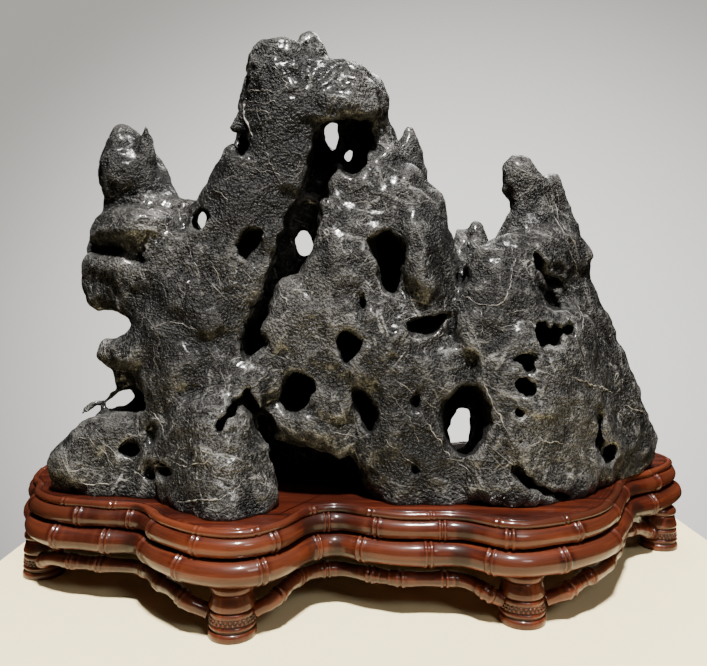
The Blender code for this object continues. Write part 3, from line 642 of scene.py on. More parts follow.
def hand_over(piece: Piece, name: str, finish: bpy.types.Material,
              nodes: Iterable[str]) -> None:
    """Name a finished piece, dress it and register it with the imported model.

    Args:
        piece: the finished piece.
        name: its name.
        finish: its material.
        nodes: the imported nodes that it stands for.
    """
    piece.name = piece.data.name = name
    piece.data.materials.clear()
    piece.data.materials.append(finish)
    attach(piece, BODY)
    for node in nodes:
        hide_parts(node)
    LOG.info("%s: %d faces", name, len(piece.data.polygons))


# ------------------------------------------------------------------ the rock


class Wear(Enum):
    """What the rock's skin is worn into, by the texture that gives it."""

    LUMPS = "CLOUDS"            # soft lumps
    SCOOPS = "VORONOI"          # bowls that meet in crests


def stretched_skin(balls: Sequence[Ball], detail: int) -> Piece:
    """Stretch one convex skin over some balls.

    Args:
        balls: the balls, as x, y, z and radius in the drawing's millimetres.
        detail: how finely each ball is divided.

    Returns:
        The skin as a new piece.
    """
    deselect_all()
    for index, (x, y, z, radius) in enumerate(balls):
        bpy.ops.mesh.primitive_ico_sphere_add(subdivisions=detail, radius=radius * MM,
                                              location=at(x, y, z))
        if index == 0:
            bpy.ops.object.mode_set(mode="EDIT")
    bpy.ops.mesh.select_all(action="SELECT")
    bpy.ops.mesh.convex_hull(use_existing_faces=False)
    bpy.ops.object.mode_set(mode="OBJECT")
    skin = bpy.context.object
    settle(skin)
    return skin


def remesh(piece: Piece, voxel: float) -> None:
    """Cover a piece with one even closed surface of the given grain in millimetres."""
    work(piece, "REMESH", "melt", mode="VOXEL", voxel_size=voxel * MM, use_smooth_shade=True)


def melted(lists: Iterable[Sequence[Ball]], name: str, detail: int, voxel: float) -> Piece:
    """Melt the skins over some lists of balls into one surface.

    Args:
        lists: the lists of balls.
        name: the new piece's name.
        detail: how finely the balls are divided.
        voxel: the grain of the melted surface in millimetres.

    Returns:
        The melted piece.
    """
    piece = join_pieces([stretched_skin(balls, detail) for balls in lists], name)
    remesh(piece, voxel)
    return piece


def wear_down(piece: Piece, wear: Wear, sizes: Iterable[Pair], layers: int = 1,
              zone: str = "") -> None:
    """Wear a piece's skin in one pattern after another.

    Args:
        piece: the piece.
        wear: what it is worn into.
        sizes: the size and the height of each pattern in millimetres.
        layers: how many finer layers lumps have.
        zone: the group of points that it is kept to, if any.
    """
    for size, height in sizes:
        pattern = bpy.data.textures.new(wear.name.lower(), wear.value)
        pattern.noise_scale = size * MM
        if wear is Wear.LUMPS:
            pattern.noise_depth = layers
        work(piece, "DISPLACE", "wear", texture=pattern, texture_coords="LOCAL",
             mid_level=0.5, strength=height * MM, vertex_group=zone)


@dataclass(frozen=True)
class Hole:
    """A hole eaten into the rock from the front, with an angular mouth."""

    outline: tuple[Pair, ...]   # x and z of the mouth's corners
    mouth: float                # y of the mouth
    deep: float                 # y of the hole's end
    narrow: float               # size of the end against the mouth
    shift: Pair                 # how far off the end lies in x and z
    corner: float               # radius of the corners
    run_out: float = 45.0       # how far it is drawn out in front
    flare: float = 1.06         # how much it widens there

    @classmethod
    def read(cls, rows: Sequence[Sequence[float]]) -> "Hole":
        """Make a hole from its rows in the table."""
        *outline, (mouth, deep, narrow, off_x, off_z, corner) = rows
        return cls(tuple(outline), mouth, deep, narrow, (off_x, off_z), corner)

    def balls(self) -> list[Ball]:
        """Find the balls that the hole's skin is stretched over.

        Returns:
            The balls, from in front of the mouth to the end.
        """
        middle_x = sum(x for x, _ in self.outline) / len(self.outline)
        middle_z = sum(z for _, z in self.outline) / len(self.outline)
        made = []
        for y, size, (off_x, off_z) in ((self.mouth - self.run_out, self.flare, (0.0, 0.0)),
                                        (self.mouth, 1.0, (0.0, 0.0)),
                                        (self.deep, self.narrow, self.shift)):
            made += [(middle_x + (x - middle_x) * size + off_x, y,
                      middle_z + (z - middle_z) * size + off_z, self.corner)
                     for x, z in self.outline]
        return made


@dataclass
class Rock:
    """The scholar's rock: masses melted together, hollowed, worn and sawn flat."""

    masses: Mapping[str, tuple[Ball, ...]] = field(default_factory=lambda: MASSES)
    crests: Mapping[str, tuple[Ball, ...]] = field(default_factory=lambda: CRESTS)
    burrows: Mapping[str, tuple[Ball, ...]] = field(default_factory=lambda: BURROWS)
    holes: tuple[Hole, ...] = tuple(Hole.read(rows) for rows in HOLES.values())
    pits: tuple[Ball, ...] = PITS
    base: float = 87.3          # height of the board's top and the gap over it
    voxel: float = 2.2          # grain of the melted surface
    ball_detail: int = 3        # how finely the balls of the masses are divided
    small_detail: int = 2       # and those of the crests and hollows
    fillet_rounds: int = 12     # how far the masses run into each other
    crest_rounds: int = 2       # and how far the small crests do
    bites: tuple[Pair, ...] = ((14.0, 2.6), (5.0, 2.0))     # uneven hole edges
    bite_voxel: float = 1.6
    deep_range: Pair = (1.5, 15.0)      # where hollows start and end to darken with painted shade
    soften_rounds: int = 4
    lumps: tuple[Pair, ...] = ((55.0, 4.5), (22.0, 4.2), (9.0, 2.0))
    lump_layers: int = 2
    scoops: tuple[Pair, ...] = ((30.0, 5.5), (13.0, 2.6))
    knobbles: tuple[Pair, ...] = ((7.5, 2.4), (4.0, 1.6))   # the rough skin
    facets: tuple[Pair, ...] = ((8.0, 2.2),)
    most_triangles: int = 190000
    rough_zones: tuple[Ball, ...] = ROUGH_ZONES
    rough_slope: float = 2.0    # how fast the roughness ends at a zone's edge
    painted_lighting_zones: tuple[tuple[Ball, float], ...] = PAINTED_LIGHTING_ZONES
    painted_lighting_slope: float = 1.6     # and the painted light and shade
    relief: tuple[int, float] = (12, 2.5)       # as store_relief takes it

    def melt(self) -> Piece:
        """Melt the masses together, and then the small crests onto them.

        Returns:
            The rock before it is hollowed.
        """
        rock = melted(self.masses.values(), "rock masses", self.ball_detail, self.voxel)
        work(rock, "SMOOTH", "fillets", factor=0.5, iterations=self.fillet_rounds)
        crests = [stretched_skin(balls, self.small_detail) for balls in self.crests.values()]
        rock = join_pieces([rock, *crests], "rock masses")
        remesh(rock, self.voxel)
        work(rock, "SMOOTH", "crest fillets", factor=0.5, iterations=self.crest_rounds)
        return rock

    def carve(self, rock: Piece) -> None:
        """Take the hollows, holes and pits out of the rock.

        Args:
            rock: the melted rock.
        """
        cutter = melted([*self.burrows.values(), *(hole.balls() for hole in self.holes),
                         *((pit,) for pit in self.pits)], "rock hollows", self.small_detail,
                        self.bite_voxel)
        wear_down(cutter, Wear.LUMPS, self.bites)
        work(rock, "BOOLEAN", "hollow", operation="DIFFERENCE", object=cutter,
             solver="MANIFOLD")
        bpy.data.objects.remove(cutter, do_unlink=True)
        remesh(rock, self.voxel)
        work(rock, "SMOOTH", "soften", factor=0.5, iterations=self.soften_rounds)

    def mark_deep(self, rock: Piece, skin: BVHTree) -> None:
        """Store how deep each point lies in a hollow, under the skin before carving.

        Args:
            rock: the carved rock.
            skin: the rock's skin as it was before the hollows.
        """
        reach = [skin.find_nearest(Vector(row))[3] or 0.0 for row in read_points(rock)]
        start, full = (size * MM for size in self.deep_range)
        write_mask(rock, "deep", np.clip((np.array(reach) - start) / (full - start), 0.0, 1.0))

    def mark_rough(self, rock: Piece) -> str:
        """Group the points of the rough zones, fading out at their edges.

        Args:
            rock: the carved rock.

        Returns:
            The group's name.
        """
        points = read_points(rock)
        amount = np.zeros(len(points))
        for zone in self.rough_zones:
            amount = np.maximum(amount, closeness(points, zone, self.rough_slope))
        group = rock.vertex_groups.new(name="rough skin")
        for index in np.flatnonzero(amount > 0.01):
            group.add([int(index)], float(amount[index]), "REPLACE")
        return group.name

    def weather(self, rock: Piece) -> None:
        """Wear the skin into lumps, shallow scoops with crests between, and knobbles.

        Args:
            rock: the carved rock.
        """
        wear_down(rock, Wear.LUMPS, self.lumps, self.lump_layers)
        wear_down(rock, Wear.SCOOPS, self.scoops)
        rough = self.mark_rough(rock)
        wear_down(rock, Wear.LUMPS, self.knobbles, zone=rough)
        wear_down(rock, Wear.SCOOPS, self.facets, zone=rough)

    def thin(self, rock: Piece) -> None:
        """Merge small faces where the surface is calm."""
        triangles = sum(len(face.vertices) - 2 for face in rock.data.polygons)
        work(rock, "DECIMATE", "thin", ratio=min(1.0, self.most_triangles / triangles))

    def saw_flat(self, rock: Piece) -> None:
        """Cut the feet off level with a plane.

        Args:
            rock: the worn rock.
        """
        with editing(rock):
            bpy.ops.mesh.bisect(plane_co=(0.0, 0.0, self.base * MM),
                                plane_no=(0.0, 0.0, 1.0), use_fill=True, clear_inner=True)

    def mark_painted_lighting(self, rock: Piece) -> None:
        """Store where the rock is painted darker with shade (under 0.5) or paler with light (over
        0.5).

        Args:
            rock: the finished mesh.
        """
        points = read_points(rock)
        painted_lighting = np.full(len(points), 0.5)
        for zone, amount in self.painted_lighting_zones:
            painted_lighting += amount * closeness(points, zone, self.painted_lighting_slope)
        write_mask(rock, "painted_lighting", np.clip(painted_lighting, 0.0, 1.0))

    def build(self, finish: bpy.types.Material) -> Piece:
        """Model and dress the rock.

        Args:
            finish: the rock's material.

        Returns:
            The finished rock.
        """
        rock = self.melt()
        skin = skin_of(rock)
        self.carve(rock)
        # the depth under the old skin drives the painted shade deep in the hollows
        self.mark_deep(rock, skin)
        self.weather(rock)
        self.thin(rock)
        self.saw_flat(rock)
        shade_round(rock)
        self.mark_painted_lighting(rock)
        # the relief's hollows get painted shade from the stone's finish
        store_relief(rock, *self.relief)
        hand_over(rock, "rock", finish, ["stone"])
        return rock


@dataclass
class Veins:
    """Threads of calcite that stand a hair proud of the stone."""

    paths: tuple[tuple[float, tuple[Triple, ...]], ...] = tuple(
        (float(width), path) for width, path in VEINS)
    step: float = 1.2           # how far apart a thread is laid on the stone
    wander: float = 1.8         # how far it strays from its straight line
    bends: float = 210.0        # how many bends it has in a metre
    proud: float = 0.05
    tip: float = 0.25           # how thin an end is, and what share of a thread thins
    thickness: float = 0.75     # of a thread's middle, against its width
    swell: float = 1.3          # how much that varies along it
    least: float = 0.2
    wander_seed: int = 7        # makes the wandering the same each time

    def lay(self, width: float, path: Sequence[Triple], skin: BVHTree, seed: int) -> Piece:
        """Lay one thread along the stone.

        Args:
            width: its width in millimetres.
            path: the points that it runs through.
            skin: the stone's surface.
            seed: which wandering it follows.

        Returns:
            The thread.
        """
        corners = [at(*point) for point in path]
        count = max(4, int(run_length(corners) / (self.step * MM)))
        points, sizes = [], []
        for index, point in enumerate(even_run(corners, count)):
            stray = noise.noise_vector(point * self.bends + Vector((0.0, 0.0, seed)))
            place, way, _, _ = skin.find_nearest(point + stray * self.wander * MM)
            points.append(place + way * self.proud * MM)
            end = min(index, count - 1 - index) / (self.tip * count)
            sizes.append(min(1.0, self.tip + end)
                         * max(self.least, self.thickness + self.swell * stray.x))
        thread = path_curve(points, closed=False)
        thread.data.bevel_depth = width / 2 * MM
        thread.data.bevel_resolution = 1
        for knot, size in zip(thread.data.splines[0].points, sizes):
            knot.radius = size
        take(thread)
        bpy.ops.object.convert(target="MESH")
        return bpy.context.object

    def build(self, rock: Piece, finish: bpy.types.Material) -> None:
        """Lay all the threads as one piece.

        Args:
            rock: the finished rock.
            finish: the threads' material.
        """
        skin = skin_of(rock)
        noise.seed_set(self.wander_seed)
        threads = [self.lay(width, path, skin, index)
                   for index, (width, path) in enumerate(self.paths)]
        veins = join_pieces(threads, "calcite veins")
        hand_over(veins, "calcite_veins", finish, ["stone"])


# ------------------------------------------------------------------ runs and outlines


def distances(points: Sequence[Vector]) -> list[float]:
    """Measure how far along an open run each of its points lies.

    Args:
        points: the run's points.

    Returns:
        One distance per point.
    """
    lengths = [0.0]
    for before, after in zip(points, points[1:]):
        lengths.append(lengths[-1] + (after - before).length)
    return lengths


def run_length(points: Sequence[Vector]) -> float:
    """Return the length of an open run of points."""
    return distances(points)[-1]


def even_run(points: Sequence[Vector], count: int) -> list[Vector]:
    """Space points evenly along an open run.

    Args:
        points: the run's points.
        count: how many points to return, both ends included.

    Returns:
        The evenly spaced points.
    """
    lengths = distances(points)
    spaced: list[Vector] = []
    index = 0
    for station in range(count):
        wanted = lengths[-1] * station / (count - 1)
        while index < len(points) - 2 and lengths[index + 1] < wanted:
            index += 1
        share = (wanted - lengths[index]) / (lengths[index + 1] - lengths[index])
        spaced.append(points[index].lerp(points[index + 1], share))
    return spaced


def smooth_closed(points: Sequence[Sequence[float]], count: int, steps: int = 40
                  ) -> list[Vector]:
    """Space points evenly along a smooth closed curve.

    Args:
        points: the points that the curve runs through.
        count: how many points to return.
        steps: how finely the curve between two of its points is followed.

    Returns:
        The evenly spaced points.
    """
    size = len(points)
    fine: list[Vector] = []
    for index in range(size):
        before, start, end, after = (Vector(points[(index + k) % size]) for k in (-1, 0, 1, 2))
        for step in range(steps):
            t = step / steps
            fine.append(0.5 * (2 * start + (end - before) * t
                               + (2 * before - 5 * start + 4 * end - after) * t ** 2
                               + (3 * start - before - 3 * end + after) * t ** 3))
    return even_run([*fine, fine[0]], count + 1)[:-1]


def inset_outline(distance: float, count: int) -> list[Vector]:
    """Move the stand's outline inwards.

    Args:
        distance: how far inwards, in millimetres; less than zero is outwards.
        count: how many points to return.

    Returns:
        Evenly numbered points round the moved outline.
    """
    points = smooth_closed(OUTLINE, count)
    moved = []
    for index, point in enumerate(points):
        along = points[(index + 1) % count] - points[index - 1]
        moved.append(point + Vector((-along.y, along.x)).normalized() * distance)
    return moved


# ------------------------------------------------------------------ turned and bent pieces


class Axis(Enum):
    """The line that a piece is turned about."""

    ALONG = (1.0, 0.0, 0.0)
    UPRIGHT = (0.0, 0.0, 1.0)

    def spot(self, place: float, radius: float) -> Triple:
        """Return the point in metres at a place and a radius in millimetres."""
        point = (place, radius, 0.0) if self is Axis.ALONG else (radius, 0.0, place)
        return tuple(size * MM for size in point)


def turned(profile: Sequence[Pair], sides: int, axis: Axis) -> Piece:
    """Turn a profile about an axis, as on a lathe.

    Args:
        profile: (place along the axis, radius) pairs in millimetres.
        sides: how many faces go round.
        axis: the line to turn about.

    Returns:
        The turned piece, open at both ends.
    """
    deselect_all()
    bpy.ops.mesh.primitive_plane_add(size=0.001, location=(0.0, 0.0, 0.0))
    piece = bpy.context.object
    spots = [axis.spot(*pair) for pair in profile]
    with editing(piece):
        bpy.ops.mesh.merge(type="CENTER")
        bpy.ops.transform.translate(value=spots[0])
        for here, there in zip(spots, spots[1:]):
            step = tuple(b - a for a, b in zip(here, there))
            bpy.ops.mesh.extrude_vertices_move(TRANSFORM_OT_translate={"value": step})
        bpy.ops.mesh.select_all(action="SELECT")
        bpy.ops.mesh.spin(steps=sides, angle=FULL_TURN, center=(0.0, 0.0, 0.0),
                          axis=axis.value)
    close_up(piece)
    return piece


def cap_ends(piece: Piece) -> None:
    """Close the open ends of a piece with flat faces."""
    with editing_open_edges(piece):
        bpy.ops.mesh.edge_face_add()


def lay_grain(piece: Piece, start: float) -> None:
    """Give a straight turned piece a UV map with the grain along it.

    Args:
        piece: a piece that lies along X.
        start: where along the wood its first end lies, in metres.
    """
    mesh = piece.data
    layer = mesh.uv_layers.new(name=GrainPath.PIECE.value)
    for face in mesh.polygons:
        middle = math.atan2(face.center.z, -face.center.y)
        for loop in face.loop_indices:
            point = mesh.vertices[mesh.loops[loop].vertex_index].co
            turn = math.atan2(point.z, -point.y)
            turn += FULL_TURN * round((middle - turn) / FULL_TURN)
            around = turn * math.hypot(face.center.y, face.center.z)
            layer.data[loop].uv = (point.x + start, around)


def path_curve(points: Sequence[Vector], closed: bool) -> Piece:
    """Make a guide curve through points in metres.

    Args:
        points: the points in metres.
        closed: whether the curve ends where it starts.

    Returns:
        The curve object.
    """
    guide = bpy.data.curves.new("guide", "CURVE")
    guide.dimensions = "3D"
    guide.twist_mode = "Z_UP"
    guide.use_stretch = True
    guide.use_deform_bounds = True
    line = guide.splines.new("POLY")
    line.points.add(len(points) - 1)
    for knot, point in zip(line.points, points):
        knot.co = (*point, 1.0)
    line.use_cyclic_u = closed
    thing = bpy.data.objects.new("guide", guide)
    bpy.context.scene.collection.objects.link(thing)
    return thing


def bend_along(piece: Piece, points: Sequence[Vector], closed: bool) -> None:
    """Bend a straight piece that lies along X until it follows a path.

    Args:
        piece: the straight piece.
        points: the path's points in metres.
        closed: whether the path ends where it starts.
    """
    guide = path_curve(points, closed)
    bpy.context.view_layer.update()
    work(piece, "CURVE", "bend", object=guide, deform_axis="POS_X")
    bpy.data.objects.remove(guide, do_unlink=True)


@dataclass(frozen=True)
class Bamboo:
    """How a length of carved bamboo is shaped.  Sizes are millimetres."""

    radius: float
    ridge: float = 1.1          # height of the two ridges at a node
    ridge_gap: float = 2.3      # distance of each ridge from the node's middle
    groove: float = 0.5         # depth of the groove between them, against the ridge
    waist: float = 0.5          # how far the middle of a section draws in
    sides: int = 28
    least_step: float = 0.25    # places nearer to each other than this are dropped

    def profile(self, nodes: Sequence[float], length: float) -> list[Pair]:
        """List the bamboo's radius along its length.

        Args:
            nodes: where its nodes are, measured from its start.
            length: its whole length.

        Returns:
            (place, radius) pairs from one end to the other.
        """
        marks = sorted(nodes)
        shape = ((-9.0, 0.0), (-4.6, 0.12), (-3.4, 0.45), (-2.9, 0.95), (-self.ridge_gap, 1.0),
                 (-1.5, 0.75), (-0.8, -0.3), (0.0, -self.groove), (0.8, -0.3), (1.5, 0.8),
                 (self.ridge_gap, 1.1), (2.9, 1.0), (3.5, 0.4), (4.8, 0.1), (9.0, 0.0))
        places = {0.0: self.radius, length: self.radius}
        for node in marks:
            for offset, rise in shape:
                place = node + offset
                if 0.0 < place < length:
                    places[place] = self.radius + rise * self.ridge
        spans = zip([marks[-1] - length, *marks], [*marks, marks[0] + length])
        for first, last in spans:
            for share in (0.25, 0.37, 0.5, 0.63, 0.75):
                place = first + (last - first) * share
                depth = self.waist * math.sin(math.pi * (share - 0.1) / 0.8)
                if 0.0 < place < length:
                    places[place] = self.radius - depth
        ordered = sorted(places.items())
        kept = [ordered[0]]
        for place, radius in ordered[1:]:
            if place - kept[-1][0] > self.least_step:
                kept.append((place, radius))
        if kept[-1][0] < length:
            kept[-1] = (length, self.radius)
        return kept


# ------------------------------------------------------------------ the stand


@dataclass
class Foot:
    """A short foot turned like the root end of a bamboo, with bands of root buds."""

    profile: tuple[Pair, ...] = (
        (0.0, 17.4), (0.0, 18.4), (0.8, 19.2), (3.0, 19.5), (5.2, 19.2), (6.4, 18.2), (6.9, 17.2),
        (7.5, 17.2), (8.1, 18.0), (9.2, 18.9), (10.4, 18.9), (11.2, 18.2), (12.0, 17.8),
        (17.2, 17.6), (17.8, 18.0), (19.2, 18.4), (20.8, 18.1), (21.6, 17.4), (22.0, 16.9),
        (22.6, 17.1), (23.4, 18.3), (25.0, 18.7), (28.5, 17.9), (32.0, 16.8), (34.6, 16.4),
        (35.2, 15.8), (35.9, 16.1), (36.6, 17.2), (38.0, 17.9), (40.4, 17.8), (41.6, 17.1),
        (42.8, 16.2),
    )
    sides: int = 56
    bud_radius: float = 1.25
    bud_rows: tuple[Pair, ...] = ((13.6, 17.7), (16.2, 17.5))   # height and distance out
    buds_round: int = 30
    turn_step: float = 0.7      # how far each foot is turned on from the last, in radians
    relief: tuple[int, float] = (4, 0.5)        # as store_relief takes it

    def model(self) -> Piece:
        """Model one foot at the drawing's zero, standing on the ground.

        Returns:
            The foot.
        """
        body = turned(self.profile, self.sides, Axis.UPRIGHT)
        cap_ends(body)
        buds = []
        for row, (height, radius) in enumerate(self.bud_rows):
            for index in range(self.buds_round):
                turn = FULL_TURN * (index + 0.5 * row) / self.buds_round
                deselect_all()
                bpy.ops.mesh.primitive_ico_sphere_add(
                    subdivisions=2, radius=self.bud_radius * MM,
                    location=(radius * MM * math.cos(turn), radius * MM * math.sin(turn),
                              height * MM))
                buds.append(bpy.context.object)
        return join_pieces([body, *buds], "foot")

    def build(self, finish: bpy.types.Material) -> None:
        """Model the foot once and set a turned copy at each place.

        Args:
            finish: the foot's material.
        """
        pattern = self.model()
        shade_round(pattern, CREASE)
        for index, (name, (x, y)) in enumerate(FEET.items()):
            copy = pattern.copy()
            copy.data = pattern.data.copy()
            bpy.context.scene.collection.objects.link(copy)
            copy.location = at(x, y, 0.0)
            copy.rotation_euler = (0.0, 0.0, self.turn_step * index)
            settle(copy)
            store_relief(copy, *self.relief)
            hand_over(copy, "turned_" + name, finish, [name])
        bpy.data.objects.remove(pattern, do_unlink=True)


@dataclass
class Stems:
    """The bent bamboo stems that run from foot to foot under the lower rail."""

    bamboo: Bamboo = Bamboo(radius=6.3, ridge=0.9, ridge_gap=1.5, groove=0.35, waist=0.55,
                            sides=24)
    high: float = 31.5          # height of the centre line half way between two feet
    low: float = 14.5           # and at the feet
    rise_length: float = 62.0   # how far it takes to rise
    reach: float = 36.0         # how far from a foot a stem starts to turn towards it
    clearance: float = 18.4     # how far from a foot's middle it ends
    track_inset: float = 4.0    # how far inside the outline it runs
    track_points: int = 1800
    points: int = 160
    section: float = 36.0       # distance between nodes
    uneven: float = 0.14        # how much that varies
    grain_step: float = 0.31    # metres between one stem's wood and the next one's
    relief: tuple[int, float] = (5, 0.5)        # as store_relief takes it

    def path(self, start: Vector, end: Vector) -> list[Vector]:
        """Find a stem's centre line in the drawing's millimetres.

        Args:
            start: the first foot's place.
            end: the second foot's place.

        Returns:
            Evenly spaced points, clear of both feet.
        """
        count = self.track_points
        track = inset_outline(self.track_inset, count)
        first, last = (min(range(count), key=lambda k: (track[k] - foot).length)
                       for foot in (start, end))
        run = [track[(first + k) % count] for k in range((last - first) % count + 1)]
        lengths = distances(run)
        total = lengths[-1]
        leaving = next(p for p, length in zip(run, lengths) if length >= self.reach)
        arriving = next(p for p, length in zip(run, lengths) if length >= total - self.reach)
        points = []
        for point, length in zip(run, lengths):
            near = min(length, total - length)
            if length < self.reach:
                point = start.lerp(leaving, near / self.reach)
            elif near < self.reach:
                point = end.lerp(arriving, near / self.reach)
            if min((point - start).length, (point - end).length) < self.clearance:
                continue
            rise = min(near / self.rise_length, 1.0)
            rise = rise * rise * (3 - 2 * rise)
            points.append(Vector((point.x, point.y, self.low + (self.high - self.low) * rise)))
        return even_run(points, self.points)

    def build(self, finish: bpy.types.Material) -> None:
        """Turn and bend each stem.

        Args:
            finish: the stems' material.
        """
        for index, (name, (first, last)) in enumerate(STEMS.items()):
            path = self.path(Vector(FEET[first]), Vector(FEET[last]))
            length = run_length(path)
            count = max(2, round(length / self.section))
            nodes = [length / count * (k + 0.5 + self.uneven * math.sin(2.3 * k + index))
                     for k in range(count)]
            stem = turned(self.bamboo.profile(nodes, length), self.bamboo.sides, Axis.ALONG)
            lay_grain(stem, self.grain_step * index)
            bend_along(stem, [at(*point) for point in path], closed=False)
            cap_ends(stem)
            close_up(stem)
            shade_round(stem, CREASE)
            store_relief(stem, *self.relief)
            hand_over(stem, "bamboo_" + name, finish, [name])


@dataclass
class SeatBoard:
    """The lobed board that the rock rests on, with a bead round its top edge."""

    stations: int = 720
    crease: float = 40.0
    # the board's edge from its underside to its top, as (inset, height)
    edge: tuple[Pair, ...] = (
        (12.8, 54.0), (12.8, 81.8), (6.4, 81.9), (6.4, 86.0), (6.9, 86.7), (8.0, 87.0),
        (9.4, 86.95), (9.9, 86.55), (10.5, 86.9), (12.0, 87.0), (14.0, 87.0),
    )

    def band(self, lower: Pair, upper: Pair) -> Piece:
        """Bridge two of the edge's rings.

        Args:
            lower: one ring's inset and height.
            upper: the next ring's.

        Returns:
            The strip between them.
        """
        rings = []
        for inset, height in (lower, upper):
            take(path_curve([at(point.x, point.y, height)
                             for point in inset_outline(inset, self.stations)], closed=True))
            bpy.ops.object.convert(target="MESH")
            rings.append(bpy.context.object)
        strip = join_pieces(rings, "board strip")
        with editing(strip):
            bpy.ops.mesh.bridge_edge_loops()
        return strip

    def build(self, finish: bpy.types.Material) -> None:
        """Join the strips of the edge and draw the open rings in to close the faces.

        Args:
            finish: the board's material.
        """
        board = join_pieces([self.band(*pair) for pair in zip(self.edge, self.edge[1:])],
                            "board")
        close_up(board)
        with editing_open_edges(board):
            bpy.ops.mesh.extrude_edges_move()
            bpy.ops.transform.resize(value=(0.0, 0.0, 1.0), center_override=(0.0, 0.0, 0.0))
        close_up(board)
        shade_round(board, self.crease)
        write_mask(board, "relief", np.full(len(board.data.vertices), 0.5))
        hand_over(board, "board", finish, ["seat_board"])


@dataclass(frozen=True)
class RailSpec:
    """One closed rail of the stand."""

    name: str
    node: str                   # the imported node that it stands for
    height: float
    inset: float                # centre line, inside the outline
    bamboo: Bamboo
    front_x: tuple[float, ...]  # where along X the front's nodes are
    back_count: int             # nodes round the back
    front_limit: float = 40.0   # y that the outline's front side lies under

    def nodes_along(self, path: Sequence[Vector], length: float) -> list[float]:
        """Find the rail's nodes: the front's by their x, the rest evenly round the back.

        Args:
            path: the rail's closed path in millimetres, evenly spaced.
            length: its length.

        Returns:
            How far along the path each node lies.
        """
        front = [k for k, point in enumerate(path) if point.y < self.front_limit]
        marks = [min(front, key=lambda k: abs(path[k].x - x)) * length / len(path)
                 for x in self.front_x]
        step = (length - (marks[-1] - marks[0])) / (self.back_count + 1)
        return sorted([*marks, *((marks[-1] + step * (k + 1)) % length
                                 for k in range(self.back_count))])


@dataclass
class Rails:
    """The two bamboo rails round the stand and the bead over them."""

    specs: tuple[RailSpec, ...] = (
        RailSpec("upper_bamboo_rail", "upper_rail", 73.0, 4.0,
                 Bamboo(radius=8.5, ridge=1.0, waist=0.55, sides=32),
                 (-243, -194, -162, -121, -68, -26, 24, 76, 129, 183), 17),
        RailSpec("lower_bamboo_rail", "lower_rail", 53.7, 1.5,
                 Bamboo(radius=10.5, ridge=1.0, ridge_gap=2.6, waist=0.6, sides=36),
                 (-262, -214, -171, -134, -75, -35, 10, 62, 115, 168, 222), 16),
        RailSpec("bead", "seat_board", 83.9, 3.2,
                 Bamboo(radius=3.5, ridge=0.45, ridge_gap=1.3, groove=0.4, waist=0.25,
                        sides=16),
                 (-258, -212, -167, -121, -79, -38, 17, 66, 120, 173), 17),
    )
    stations: int = 1440
    grain_step: float = 0.7     # metres between one rail's wood and the next one's
    seam: float = 0.0001        # metres; the two ends of a closed rail are merged
    relief: tuple[int, float] = (6, 0.6)        # as store_relief takes it

    def build(self, finish: bpy.types.Material) -> None:
        """Turn each rail straight and bend it round the stand.

        Args:
            finish: the rails' material.
        """
        for index, spec in enumerate(self.specs):
            path = inset_outline(spec.inset, self.stations)
            length = run_length([*path, path[0]])
            profile = spec.bamboo.profile(spec.nodes_along(path, length), length)
            rail = turned(profile, spec.bamboo.sides, Axis.ALONG)
            lay_grain(rail, self.grain_step * index)
            bend_along(rail, [at(p.x, p.y, spec.height) for p in path], closed=True)
            close_up(rail, self.seam)
            shade_round(rail)
            store_relief(rail, *self.relief)
            hand_over(rail, spec.name, finish, [spec.node])


# ------------------------------------------------------------------ finishes


@dataclass(frozen=True)
class Pattern:
    """A noise pattern, and the part of its range that becomes 0 to 1, if not the whole."""

    scale: float
    detail: float
    roughness: float = 0.5
    distortion: float = 0.0
    ends: Pair | None = None


